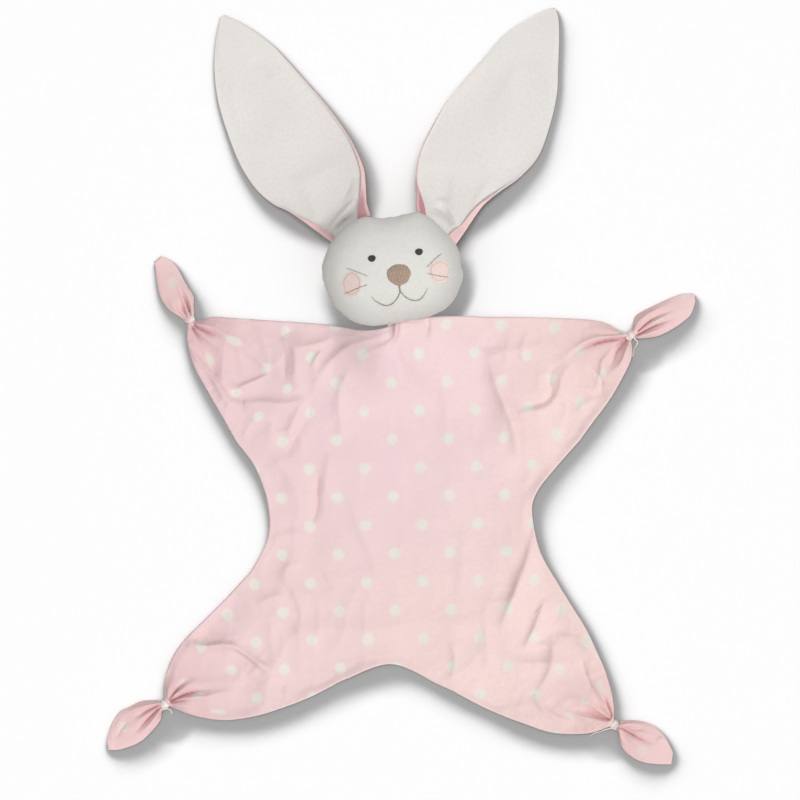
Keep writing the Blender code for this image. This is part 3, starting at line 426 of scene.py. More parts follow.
WHISKER_PIXELS = {
    "whisker_left_upper": ((346.8, 268.2), (356, 271.6), (367.2, 276.0)),
    "whisker_left_lower": ((344.2, 293.6), (350, 291.6), (360, 287.4), (367.0, 285.0)),
    "whisker_right_upper": ((441.2, 253.6), (434, 260), (427.2, 266.9)),
    "whisker_right_lower": ((427.4, 273.4), (437, 275.6), (448.4, 277.0)),
}
FACE_THREAD = 0.42 * MM
MOUTH_THREAD = 0.78 * MM
FACE_HEIGHT = 47 * MM


# Arithmetic


def smooth(share):
    """From 0 to 1 with level ends as share goes from 0 to 1: three times its square less twice its cube."""
    share = np.clip(share, 0, 1)
    return share * share * (3 - 2 * share)


def mix(first, second, share):
    """The first value at a share of 0 and the second at 1, along a straight line between them."""
    return first + (second - first) * share


def unit(vector):
    """A vector divided by its length."""
    return vector / np.maximum(np.linalg.norm(vector, axis=-1, keepdims=True), 1e-12)


def left_of(direction):
    """A direction in the plane turned by a quarter to the left."""
    return np.stack((-direction[..., 1], direction[..., 0]), axis=-1)


def circle(count):
    """Angles all the way round, one step apart."""
    return 2 * np.pi * np.arange(count) / count


def around(turn):
    """The directions in the plane at these angles."""
    return np.stack((np.cos(turn), np.sin(turn)), axis=-1)


def plan(pixels):
    """X and Y of pixels of the photograph."""
    pixels = np.asarray(pixels, float)
    return (pixels - CENTRE_PIXEL) * (PIXEL, -PIXEL)


def seen(pixels, height):
    """X and Y of what is seen at pixels of the photograph and lies this high."""
    middle = plan((PHOTO_SIDE / 2, PHOTO_SIDE / 2))
    return middle + (plan(pixels) - middle) * (1 - height / CAMERA_DISTANCE)


def curve_at(points, shares, closed=False):
    """Places at shares of the length of a smooth curve through points, each stretch between two of them
    a cubic whose slope at a point follows the line between its neighbours."""
    points = np.asarray(points, float)
    if closed:
        points = np.vstack((points, points[:1]))
        padded = np.vstack((points[-2], points, points[1]))
    else:
        padded = np.vstack((2 * points[0] - points[1], points, 2 * points[-1] - points[-2]))
    share = np.linspace(0, 1, 24, endpoint=False)[:, None, None]
    before, start, end, after = padded[:-3], padded[1:-2], padded[2:-1], padded[3:]
    dense = start + 0.5 * (
        (end - before) * share
        + (2 * before - 5 * start + 4 * end - after) * share**2
        + (3 * start - before - 3 * end + after) * share**3
    )
    dense = np.vstack((dense.transpose(1, 0, 2).reshape(-1, points.shape[1]), points[-1:]))
    along = np.concatenate(([0], np.cumsum(np.linalg.norm(np.diff(dense, axis=0), axis=1))))
    places = np.asarray(shares) * along[-1]
    return np.stack([np.interp(places, along, column) for column in dense.T], axis=1)


def table_curve(place, places, values):
    """A table of values read at each place: between two entries a cubic that meets both of them at the
    slopes that the table has there."""
    places, values = np.asarray(places, float), np.asarray(values, float)
    slopes = np.gradient(values, places)
    k = np.clip(np.searchsorted(places, place, side="right") - 1, 0, len(places) - 2)
    span = places[k + 1] - places[k]
    t = np.clip((place - places[k]) / span, 0, 1)
    start = (1 + 2 * t) * (1 - t) ** 2 * values[k] + t * (1 - t) ** 2 * span * slopes[k]
    end = t * t * (3 - 2 * t) * values[k + 1] - t * t * (1 - t) * span * slopes[k + 1]
    return start + end


def cloth_noise(plane, size, seed):
    """Random heights from -1 to 1 on a square lattice, blended by a quintic between its points."""
    lattice = np.random.default_rng(seed).uniform(-1, 1, (NOISE_CELLS, NOISE_CELLS))
    place = plane / size + (NOISE_CELLS - 1) / 2
    cell = np.floor(place).astype(int)
    share = place - cell
    share = share**3 * (share * (share * 6 - 15) + 10)
    x, y = cell[..., 0] % NOISE_CELLS, cell[..., 1] % NOISE_CELLS
    x_after, y_after = (x + 1) % NOISE_CELLS, (y + 1) % NOISE_CELLS
    near = mix(lattice[y, x], lattice[y, x_after], share[..., 0])
    far = mix(lattice[y_after, x], lattice[y_after, x_after], share[..., 0])
    return mix(near, far, share[..., 1])


def facets(plane, size, seed):
    """Nearly flat facets that meet in crisp ridges, as crumpled cotton has: noise folded over at zero with a
    slightly rounded fold, on places that two coarser noises shift."""
    coarse = size * FACET_COARSE
    wander = np.stack((cloth_noise(plane, coarse, seed + 1), cloth_noise(plane, coarse, seed + 2)), -1)
    field = cloth_noise(plane + wander * size * FACET_WANDER, size, seed)
    return FACET_MEAN - np.sqrt(field**2 + FACET_ROUND)


def layered(pattern, plane, layers):
    """The sum of a pattern's layers, each with its own height, size and seed."""
    return sum(height * pattern(plane, size, seed) for height, size, seed in layers)


def line_distance(plane, line):
    """The distance of each point to a line of segments, how far along the line the nearest place is as a
    share, and the direction from that place to the point."""
    start, step = line[:-1], np.diff(line, axis=0)
    offset = plane[..., None, :] - start
    share = np.clip((offset * step).sum(-1) / (step**2).sum(-1), 0, 1)
    gap = offset - share[..., None] * step
    apart = (gap**2).sum(-1)
    nearest = apart.argmin(-1)[..., None]
    along = (nearest[..., 0] + np.take_along_axis(share, nearest, -1)[..., 0]) / len(step)
    gap = np.take_along_axis(gap, nearest[..., None], -2)[..., 0, :]
    return np.linalg.norm(gap, axis=-1), along, unit(gap)


def edge_places(count, length):
    """Shares from 0 to 1, close together at both ends where a seam turns over."""
    rim = np.array(RIM_STEPS) / length
    return np.concatenate((rim[:-1], np.linspace(rim[-1], 1 - rim[-1], count), 1 - rim[-2::-1]))


# Meshes


def grid_quads(rows, columns, wrap=False):
    """Corner numbers of the quads of a grid, joined round at its last column if it wraps."""
    corner = np.arange(rows * columns).reshape(rows, columns)
    if wrap:
        corner = np.hstack((corner, corner[:, :1]))
    return np.stack((corner[:-1, :-1], corner[:-1, 1:], corner[1:, 1:], corner[1:, :-1]), -1).reshape(-1, 4)


def mesh_points(mesh):
    """The places of a mesh's points, one row each."""
    points = np.empty(len(mesh.vertices) * 3, np.float32)
    mesh.vertices.foreach_get("co", points)
    return points.reshape(-1, 3).astype(float)


def turn_outward(mesh):
    """Turns all faces round where the volume that they enclose comes out negative."""
    mesh.calc_loop_triangles()
    corners = np.empty(len(mesh.loop_triangles) * 3, np.int32)
    mesh.loop_triangles.foreach_get("vertices", corners)
    a, b, c = mesh_points(mesh)[corners.reshape(-1, 3)].transpose(1, 0, 2)
    if (a * np.cross(b, c)).sum() < 0:
        mesh.flip_normals()


def placed(name, data):
    """A new object in the scene that holds this mesh, lamp or camera."""
    made = bpy.data.objects.new(name, data)
    bpy.context.scene.collection.objects.link(made)
    return made


def make_piece(name, points, faces, look, uv=None, shade_share=None, sharp_degrees=180):
    """A closed mesh object at the origin from points and faces, with one pair of pattern places a point, and
    how much painted shade each point carries."""
    mesh = bpy.data.meshes.new(name)
    mesh.from_pydata(np.asarray(points, float).reshape(-1, 3), [], [list(face) for face in faces])
    if uv is not None:
        corners = np.empty(len(mesh.loops), np.int32)
        mesh.loops.foreach_get("vertex_index", corners)
        layer = mesh.uv_layers.new(name="pattern")
        layer.data.foreach_set("uv", np.asarray(uv, np.float32).reshape(-1, 2)[corners].ravel())
    if shade_share is not None:
        # The painted shade of each point, which the finishes blend towards a darker colour
        layer = mesh.attributes.new("painted_shade", "FLOAT", "POINT")
        layer.data.foreach_set("value", shade_share.astype(np.float32))
    mesh.shade_smooth()
    if sharp_degrees < 180:
        mesh.set_sharp_from_angle(angle=math.radians(sharp_degrees))
    mesh.materials.append(look)
    turn_outward(mesh)
    return placed(name, mesh)


def rim_loop(rows, columns):
    """The corner numbers round a grid's edge, in order."""
    corner = np.arange(rows * columns).reshape(rows, columns)
    return np.concatenate((corner[0, :-1], corner[:-1, -1], corner[-1, :0:-1], corner[:0:-1, 0]))


def two_sided(name, top, bottom, look, uv=None, shade_share=None, shade_below=False):
    """A closed piece from an upper and a lower grid of points, joined by a strip round their edges."""
    rows, columns = top.shape[:2]
    count = rows * columns
    quads = grid_quads(rows, columns)
    turned = np.cross(top[0, -1] - top[0, 0], top[-1, 0] - top[0, 0])[2] > 0
    upper, lower = (quads, quads[:, ::-1] + count) if turned else (quads[:, ::-1], quads + count)
    rim = rim_loop(rows, columns)
    after = np.roll(rim, -1)
    strip = np.stack((rim, rim + count, after + count, after), -1)
    if not turned:
        strip = strip[:, ::-1]
    points = np.concatenate((top.reshape(-1, 3), bottom.reshape(-1, 3)))
    uv = None if uv is None else np.concatenate((uv.reshape(-1, 2), uv.reshape(-1, 2)))
    # Painted shade on the upper grid, and on the lower one too where it is asked for
    if shade_share is not None:
        shade_share = np.broadcast_to(shade_share, (rows, columns)).ravel()
        shade_share = np.concatenate((shade_share, shade_share if shade_below else np.zeros(count)))
    return make_piece(name, points, np.concatenate((upper, lower, strip)), look, uv, shade_share, sharp_degrees=75)


def with_height(plane, height):
    """Points over places in the plane, at their heights."""
    height = np.broadcast_to(height, plane.shape[:-1])
    return np.concatenate((plane, height[..., None]), axis=-1)


def thread_tube(name, path, radius, reference, look, closed=False, ply=0.0):
    """A round thread along a path: at each point a ring square to the path, its first point turned away
    from the reference direction. radius may change along it. ply presses a two-strand twist into it, which
    turns once in five radii."""
    path = np.asarray(path, float)
    if closed:
        slope = np.roll(path, -1, axis=0) - np.roll(path, 1, axis=0)
    else:
        slope = np.gradient(path, axis=0)
    slope = unit(slope)
    side = unit(np.cross(slope, reference))
    up = np.cross(side, slope)
    steps = np.linalg.norm(np.diff(path, axis=0), axis=1)
    along = np.concatenate(([0], np.cumsum(steps)))[:, None]
    turn = circle(THREAD_SIDES)
    reach = np.broadcast_to(np.asarray(radius, float).reshape(-1, 1), (len(path), 1))
    twist = 1 + ply * np.cos(2 * (turn - along / (reach.mean() * 5)))
    ring = side[:, None] * np.cos(turn)[:, None] + up[:, None] * np.sin(turn)[:, None]
    points = path[:, None] + ring * (reach * twist)[..., None]
    rows = len(path)
    quads = grid_quads(rows + (1 if closed else 0), THREAD_SIDES, wrap=True)
    if closed:
        faces = list(np.where(quads >= rows * THREAD_SIDES, quads - rows * THREAD_SIDES, quads))
    else:
        first = np.arange(THREAD_SIDES)
        faces = list(quads) + [first, (first + (rows - 1) * THREAD_SIDES)[::-1]]
    uv = np.stack(np.broadcast_arrays(turn[None, :] / (2 * np.pi) * reach, along), -1)
    return make_piece(name, points, faces, look, uv)


def dome(name, rings, look, uv=None, shade_share=None):
    """A closed piece over rings of points, the first and the last drawn together to their middle."""
    rows, columns = rings.shape[:2]
    points = np.concatenate((rings.reshape(-1, 3), rings[[0, -1]].mean(axis=1)))
    quads = grid_quads(rows, columns, wrap=True)
    first, last = np.arange(columns), (rows - 1) * columns + np.arange(columns)
    near = np.stack((first, np.full(columns, rows * columns), np.roll(first, -1)), -1)
    far = np.stack((last, np.roll(last, -1), np.full(columns, rows * columns + 1)), -1)
    faces = list(quads) + list(near) + list(far)
    if uv is not None:
        uv = np.concatenate((uv.reshape(-1, 2), uv[[0, -1]].mean(axis=1)))
    if shade_share is not None:
        shade_share = np.concatenate((shade_share.ravel(), shade_share[[0, -1]].mean(axis=1)))
    return make_piece(name, points, faces, look, uv, shade_share)


# Materials


def colour(red, green, blue):
    """A colour as a photograph writes it, from 0 to 255, made linear."""
    share = np.array((red, green, blue)) / 255
    return (*np.where(share <= 0.04045, share / 12.92, ((share + 0.055) / 1.055) ** 2.4), 1.0)


class Finish:
    """A fabric or thread finish that is built up node by node."""

    def __init__(self, name, roughness, sheen=0.0):
        self.material = bpy.data.materials.new(name)
        self.material.use_nodes = True
        self.tree = self.material.node_tree
        self.shader = self.tree.nodes["Principled BSDF"]
        self.shader.inputs["Roughness"].default_value = roughness
        self.shader.inputs["Sheen Weight"].default_value = sheen
        self.shader.inputs["Sheen Roughness"].default_value = 0.6
        self.shader.inputs["Specular IOR Level"].default_value = 0.25

    def connect(self, socket, value):
        """Links another node's output to a socket, or sets a plain value on it."""
        if isinstance(value, bpy.types.NodeSocket):
            self.tree.links.new(value, socket)
        elif value is not None:
            socket.default_value = value

    def node(self, kind, *inputs, **settings):
        """A node whose inputs, in order, are values or other nodes' outputs."""
        made = self.tree.nodes.new("ShaderNode" + kind)
        for key, value in settings.items():
            setattr(made, key, value)
        for socket, value in zip(made.inputs, inputs):
            self.connect(socket, value)
        return made

    def maths(self, operation, *inputs):
        """A sum on plain numbers."""
        return self.node("Math", *inputs, operation=operation).outputs[0]

    def vector(self, operation, *inputs):
        """A sum on places that gives another place."""
        return self.node("VectorMath", *inputs, operation=operation).outputs["Vector"]

    def measure(self, operation, *inputs):
        """A sum on places that gives a number, such as a length."""
        return self.node("VectorMath", *inputs, operation=operation).outputs["Value"]

    def pattern_places(self):
        """The piece's own flat pattern, in metres."""
        return self.node("UVMap", uv_map="pattern").outputs[0]

    def object_places(self):
        """The places in the piece's own mesh."""
        return self.node("TexCoord").outputs["Object"]

    def painted_shade(self):
        """The painted shade at a place, as its mesh carries it."""
        return self.node("Attribute", attribute_name="painted_shade").outputs["Fac"]

    def noise(self, places, size, detail=2.0):
        """Smooth random values from 0 to 1, with marks of this size and finer ones in them."""
        made = self.node("TexNoise", places)
        made.inputs["Scale"].default_value = 1 / size
        made.inputs["Detail"].default_value = detail
        return made.outputs[0]

    def blend(self, share, first, second):
        """The first colour at a share of 0 and the second at 1."""
        made = self.node("Mix", data_type="RGBA")
        for socket, value in ((made.inputs[0], share), (made.inputs[6], first), (made.inputs[7], second)):
            self.connect(socket, value)
        return made.outputs[2]

    def ramp(self, value, low, high, to_low=0.0, to_high=1.0):
        """A value carried from one range to another with level ends."""
        made = self.node("MapRange", value, low, high, to_low, to_high, interpolation_type="SMOOTHSTEP")
        return made.outputs[0]

    def weave(self, places, pitch):
        """A plain weave: two sets of ribs that pass over each other in turn, from -1 to 1."""
        parts = self.node("SeparateXYZ", places)
        across = self.maths("SINE", self.maths("MULTIPLY", parts.outputs[0], 2 * math.pi / pitch))
        along = self.maths("SINE", self.maths("MULTIPLY", parts.outputs[1], 2 * math.pi / pitch))
        return self.maths("MULTIPLY", across, along)

    def paint(self, tint):
        """Gives the shader its colour."""
        self.connect(self.shader.inputs["Base Color"], tint)

    def bump(self, height, strength, distance):
        """Presses a height into the way the surface catches the light."""
        made = self.node("Bump")
        made.inputs["Strength"].default_value = strength
        made.inputs["Distance"].default_value = distance
        self.connect(made.inputs["Height"], height)
        self.connect(self.shader.inputs["Normal"], made.outputs[0])

    def cotton_surface(self, weave, slubs):
        """Dull cotton, a little duller where its yarn is thick, with the weave and the slubs in relief."""
        self.connect(self.shader.inputs["Roughness"], self.ramp(slubs, 0.2, 0.8, *COTTON_DULL))
        self.bump(self.maths("ADD", self.maths("MULTIPLY", weave, 0.5), slubs), COTTON_BUMP, COTTON_RELIEF)


# Cotton: how dull it is, its relief, and how much of the deeper tone its slubs and its weave show
COTTON_DULL = (0.86, 0.97)
COTTON_BUMP = 0.35
COTTON_RELIEF = 0.12 * MM
SLUB_TINT = 0.35
WEAVE_TINT = 0.06

# The print: the pitch of its staggered dots, their radius, their soft and ragged edge, one dot's pixel, the
# turn of the rows, how the dots fade in places, and their colours
DOT_ACROSS = 36.35 * MM
DOT_DOWN = 37.0 * MM
DOT_RADIUS = 3.65 * MM
DOT_SOFT = 1.4 * MM
DOT_RAGGED = 1.1 * MM
DOT_RAGGED_SIZE = 1.6 * MM
DOT_PIXEL = (420.7, 467.4)
DOT_TURN = math.radians(-1.0)
DOT_FADE_SIZE = 34 * MM
DOT_FADED = 0.86
DOT_PALE = (232, 231, 221)
DOT_SLUB = (236, 220, 215)

# The pink ground: its weave, its slubs, the pixel of its coolest tone, and how its tones wander
PINK_WEAVE = 0.55 * MM
PINK_SLUBS = 2.6 * MM
PINK_SLUB = (236, 204, 205)
# The deep rose of the painted shade in creases and around the ties, and the most of it that shows
PINK_CREASE_SHADE = (202, 134, 136)
PINK_CREASE_SHADE_SHARE = 0.7
PINK_SHADE = (205, 160, 165)
LILAC_PIXEL = (415, 440)
LILAC_REACH = (60 * MM, 190 * MM)
LILAC_TINT = 0.75
TONE_TOWARD = (1, -0.4, 0)
TONE_REACH = (-90 * MM, 210 * MM)
TONE_WANDER = 110 * MM
TONE_WANDER_SIZE = 70 * MM

# Plain cotton: its weave, its slubs, the size of its changes of tone, and the strength of its painted shade
PLAIN_WEAVE = 0.5 * MM
PLAIN_SLUBS = 2.2 * MM
PLAIN_TONES = 60 * MM
PLAIN_SHADE_SHARE = 0.8


def dot_mask(made, lattice, shift, ragged, strength):
    """One of the two sets of dots: the distance to the middle of each cell of the lattice, cut off at the
    dots' radius with a soft and ragged edge."""
    cell = made.vector("FRACTION", made.vector("ADD", lattice, (shift, shift, 0)))
    place = made.vector("MULTIPLY", made.vector("ADD", cell, (-0.5, -0.5, 0)), (DOT_ACROSS, DOT_DOWN, 0))
    reach = made.maths("ADD", made.measure("LENGTH", place), ragged)
    return made.ramp(reach, DOT_RADIUS - DOT_SOFT, DOT_RADIUS + DOT_SOFT, strength, 0.0)


def dotted_cotton(name, left, right, middle, dot_strength):
    """Pink cotton with a staggered print of pale dots, woven. Its tone changes slowly from the left to the
    right of the blanket and is a little cooler near the middle."""
    made = Finish(name, 0.92, sheen=0.25)
    places = made.pattern_places()
    weave = made.weave(places, PINK_WEAVE)
    slubs = made.noise(places, PINK_SLUBS, detail=3.0)
    dot = plan(DOT_PIXEL)
    moved = made.node("Mapping", places, (-dot[0], -dot[1], 0)).outputs[0]
    centred = made.node("Mapping", moved, (0, 0, 0), (0, 0, DOT_TURN)).outputs[0]
    lattice = made.vector("MULTIPLY", centred, (1 / DOT_ACROSS, 1 / DOT_DOWN, 1))
    ragged = made.maths("SUBTRACT", made.noise(places, DOT_RAGGED_SIZE), 0.5)
    ragged = made.maths("MULTIPLY", ragged, DOT_RAGGED)
    masks = [dot_mask(made, lattice, shift, ragged, dot_strength) for shift in (0.5, 0.0)]
    faded = made.ramp(made.noise(places, DOT_FADE_SIZE, detail=1.0), 0.3, 0.6, DOT_FADED, 1.0)
    dots = made.maths("MULTIPLY", made.maths("MAXIMUM", *masks), faded)
    wander = made.maths("MULTIPLY", made.noise(places, TONE_WANDER_SIZE, detail=1.0), TONE_WANDER)
    toward = made.maths("ADD", made.measure("DOT_PRODUCT", places, TONE_TOWARD), wander)
    pink = made.blend(made.ramp(toward, *TONE_REACH), left, right)
    from_middle = made.maths("ADD", made.measure("DISTANCE", places, (*plan(LILAC_PIXEL), 0)), wander)
    pink = made.blend(made.ramp(from_middle, *LILAC_REACH, LILAC_TINT, 0.0), pink, middle)
    pink = made.blend(made.ramp(slubs, 0.3, 0.75, 0.0, SLUB_TINT), pink, colour(*PINK_SLUB))
    pale = made.blend(made.ramp(slubs, 0.3, 0.8, 0.0, SLUB_TINT), colour(*DOT_PALE), colour(*DOT_SLUB))
    painted = made.blend(dots, pink, pale)
    # Painted shade: the print is drawn towards a deep rose in creases and around the ties
    creased = made.maths("MULTIPLY", made.painted_shade(), PINK_CREASE_SHADE_SHARE)
    painted = made.blend(creased, painted, colour(*PINK_CREASE_SHADE))
    made.paint(made.blend(made.ramp(weave, -1.0, 1.0, 0.0, WEAVE_TINT), painted, colour(*PINK_SHADE)))
    made.cotton_surface(weave, slubs)
    return made.material


def plain_cotton(name, main, other, deep, shade=None, own_pattern=True):
    """Woven cotton of one colour with slight changes of tone and fine slubs, darkened by painted shade."""
    made = Finish(name, 0.92, sheen=0.2)
    places = made.pattern_places() if own_pattern else made.object_places()
    weave = made.weave(places, PLAIN_WEAVE)
    slubs = made.noise(places, PLAIN_SLUBS, detail=3.0)
    tint = made.blend(made.ramp(made.noise(places, PLAIN_TONES, detail=1.0), 0.3, 0.7), main, other)
    tint = made.blend(made.ramp(slubs, 0.35, 0.8, 0.0, SLUB_TINT), tint, deep)
    tint = made.blend(made.ramp(weave, -1.0, 1.0, 0.0, WEAVE_TINT), tint, deep)
    # Painted shade: drawn towards the shade colour in creases, under the ears' flaps and at the head's sides
    creased = made.maths("MULTIPLY", made.painted_shade(), PLAIN_SHADE_SHARE)
    made.paint(made.blend(creased, tint, shade or deep))
    made.cotton_surface(weave, slubs)
    return made.material


def stitched_thread(name, main, deep, pitch=0.4 * MM, streak=0.4):
    """Embroidery thread laid side by side: fine ribs with darker gaps, darker fibres and a soft lustre."""
    made = Finish(name, 0.6, sheen=0.3)
    places = made.pattern_places()
    ripple = made.maths("MULTIPLY", made.noise(places, 1.5 * MM), 1.2)
    across = made.maths("MULTIPLY", made.node("SeparateXYZ", places).outputs[0], 2 * math.pi / pitch)
    ribs = made.maths("SINE", made.maths("ADD", across, ripple))
    fibres = made.noise(places, 0.5 * MM)
    tint = made.blend(made.ramp(ribs, -1.0, 0.2, 0.75, 0.0), main, deep)
    made.paint(made.blend(made.ramp(fibres, 0.35, 0.75, 0.0, streak), tint, deep))
    made.bump(made.maths("ADD", ribs, fibres), 0.5, 0.1 * MM)
    return made.material


DOTTED_COTTON = dotted_cotton(
    "dotted_cotton", colour(234, 206, 208), colour(244, 218, 213), colour(241, 214, 219), dot_strength=1.0
)
TIP_COTTON = dotted_cotton(
    "tip_cotton", colour(241, 211, 209), colour(241, 211, 209), colour(242, 213, 211), dot_strength=0.7
)
# The fourth colour of the head's, the ears' and the pink cotton is its painted shade: at the head's sides, in
# the linings' creases and under the ears' flaps
HEAD_COTTON = plain_cotton(
    "white_cotton", colour(212, 211, 207), colour(210, 208, 203), colour(197, 195, 190),
    colour(184, 182, 177), own_pattern=False,
)
EAR_COTTON = plain_cotton(
    "ear_cotton", colour(233, 229, 225), colour(230, 225, 220), colour(214, 208, 203), colour(190, 187, 182)
)
PINK_COTTON = plain_cotton(
    "pink_cotton", colour(242, 203, 203), colour(244, 209, 207), colour(226, 176, 179), colour(190, 120, 128)
)
CHEEK_COTTON = plain_cotton(
    "cheek_cotton", colour(232, 212, 205), colour(233, 213, 206), colour(222, 201, 193)
)
WHITE_THREAD = stitched_thread("white_thread", colour(254, 250, 246), colour(232, 220, 213))
LINE_THREAD = stitched_thread("line_thread", colour(165, 150, 133), colour(120, 104, 90))
ROSE_THREAD = stitched_thread("rose_thread", colour(208, 168, 156), colour(190, 144, 132))
PALE_THREAD = stitched_thread("pale_thread", colour(240, 224, 217), colour(226, 204, 197))
TAN_THREAD = stitched_thread(
    "tan_thread", colour(203, 181, 162), colour(128, 104, 86), pitch=0.95 * MM, streak=0.9
)
DARK_THREAD = stitched_thread(
    "dark_thread", colour(74, 66, 58), colour(12, 10, 10), pitch=0.8 * MM, streak=0.95
)


# Blanket


NECK_POINT = plan(NECK_PIXEL)
NECK_ALONG = np.array((math.cos(NECK_SLOPE), math.sin(NECK_SLOPE)))
NECK_UP = left_of(NECK_ALONG)


def between_edges(top, bottom, left, right, u, v):
    """The patch inside four edges: both pairs of opposite edges blended, less the blend of the corners."""
    u, v = u[None, :, None], v[:, None, None]
    ruled = mix(top[None], bottom[None], v) + mix(left[:, None], right[:, None], u)
    return ruled - mix(mix(top[0], top[-1], u), mix(bottom[0], bottom[-1], u), v)


def bundle_frame(limb):
    """Where a limb's tie lies: its middle, its axis and the direction across it."""
    pixels = LIMB_PIXELS[limb]
    tie = plan(pixels["tie"])
    axis = unit(plan(pixels["aim"]) - tie)
    across = left_of(axis)
    if across @ (plan(pixels["second"][-1]) - plan(pixels["first"][-1])) < 0:
        across = -across
    return tie, axis, across


def limb_edges(limb):
    """The two side edges of a limb, from its fold line to the near end of its tie."""
    tie, axis, across = bundle_frame(limb)
    edges = []
    for key, sign in (("first", -1), ("second", 1)):
        corner = tie - axis * TIE_HALF + across * sign * BUNDLE_WIDTH / 2
        edges.append(np.vstack((plan(LIMB_PIXELS[limb][key]), corner)))
    return edges


def seam_outline():
    """The blanket's sewn edge all the way round, as one line of short segments."""
    shares = np.linspace(0, 1, 34)
    edges = {limb: [curve_at(edge, shares) for edge in limb_edges(limb)] for limb in LIMB_PIXELS}
    short = np.linspace(0, 1, 26)
    pieces = [
        curve_at(plan(TORSO_TOP_PIXELS), short),
        edges["arm_right"][0],
        edges["arm_right"][1][::-1],
        curve_at(plan(TORSO_RIGHT_PIXELS), short),
        edges["leg_right"][0],
        edges["leg_right"][1][::-1],
        curve_at(plan(TORSO_BOTTOM_PIXELS), short)[::-1],
        edges["leg_left"][1],
        edges["leg_left"][0][::-1],
        curve_at(plan(TORSO_LEFT_PIXELS), short)[::-1],
        edges["arm_left"][1],
        edges["arm_left"][0][::-1],
    ]
    line = np.vstack([piece[:-1] for piece in pieces] + [pieces[0][:1]])
    return line[np.concatenate(([True], np.linalg.norm(np.diff(line, axis=0), axis=1) > 1e-6))]


OUTLINE = seam_outline()


def seam_distance(plane):
    """The distance to the sewn edge and the place along it, worked out a strip of rows at a time."""
    parts = [line_distance(rows, OUTLINE)[:2] for rows in np.array_split(plane, max(1, len(plane) // 6))]
    return [np.concatenate(values) for values in zip(*parts)]


def neck_rise(plane):
    """How far the cloth climbs to the seam of the head: level near it, then down to the surface."""
    offset = plane - NECK_POINT
    across = (np.abs(offset @ NECK_ALONG) - NECK_FLAT) / NECK_SPREAD
    down = -(offset @ NECK_UP) / NECK_RUN
    return NECK_RISE * (1 - smooth(across)) * (1 - smooth(down))


# How finely the line of a fold is divided and how far its relief reaches. A crease this deep in mm, and no
# wider than this, shows its full painted shade.
LINE_STEPS = 14
LINE_REACH = 20 * MM
CREASE_DEEP = 3.6
CREASE_SHARP = 1.7 * MM
# A fold's rounded top, its steep and its gentle flank, all in widths
FOLD_ROUND = 0.35
FOLD_FLANKS = (0.6, 1.7)


def fold_height(apart, toward, width):
    """A crisp fold: a slightly rounded ridge that falls off exponentially on both sides, steeply on one and
    gently on the other."""
    gentle = 1 - smooth(0.5 + 0.9 * (toward @ np.array(STEEP_SIDE)))
    rounding = FOLD_ROUND * width
    return np.exp(-(np.sqrt(apart**2 + rounding**2) - rounding) / (width * mix(*FOLD_FLANKS, gentle)))


def crease_heights(plane, creases, faint=0.3):
    """The folds and creases that lie along lines, each fading out towards its ends, and how much painted
    shade each place carries inside a crease, from 0 to 1. A crease falls off evenly to both sides, and its
    painted shade as a bell curve. The painted shade of one that doesn't leave a tie is fainter."""
    height, shade_share = np.zeros(plane.shape[:-1]), np.zeros(plane.shape[:-1])
    for pixels, rise, near_width, far_width, starts_full in creases:
        line = curve_at(plan(pixels), np.linspace(0, 1, LINE_STEPS))
        box = np.array((line.min(axis=0), line.max(axis=0))) + np.array(((-1,), (1,))) * LINE_REACH
        inside = ((plane > box[0]) & (plane < box[1])).all(axis=-1)
        if not inside.any():
            continue
        apart, along, toward = line_distance(plane[inside], line)
        width = mix(near_width, far_width, along) * MM
        fade = 1 - smooth((along - 0.35) / 0.65) if starts_full else np.sin(np.pi * along.clip(0, 1)) ** 0.7
        if rise > 0:
            height[inside] += rise * MM * fade * fold_height(apart, toward, width)
        else:
            height[inside] += rise * MM * fade * np.exp(-apart / width)
            # How much painted shade the crease lays on the cloth, fainter for one that doesn't leave a tie
            sharp = min(1, -rise / CREASE_DEEP) * np.minimum(1, CREASE_SHARP / width)
            sharp = sharp * (1 if starts_full else faint)
            shade_share[inside] = np.maximum(shade_share[inside], sharp * fade * np.exp(-((apart / width) ** 2)))
    return height, shade_share


# Gathers at each tie: how many, how high they are, the widest angle of their fan in degrees, how far their
# angles wander and over what size, how wide they are at the tie, how they widen, and where they set in
GATHER_COUNT = 6
GATHER_RISE = 1.0 * MM
GATHER_WIDEST = 64
GATHER_WANDER = 0.16
GATHER_WANDER_SIZE = 9 * MM
GATHER_WIDTH = 0.45 * MM
GATHER_WIDENING = 0.075
GATHER_CLEAR = 3 * MM
# For each tie how far they reach, and the middle of their fan as a pixel
GATHERS = {
    "arm_left": (13 * MM, (262, 372)),
    "arm_right": (13 * MM, (560, 380)),
    "leg_left": (12 * MM, (245, 664)),
    "leg_right": (12 * MM, (552, 664)),
}


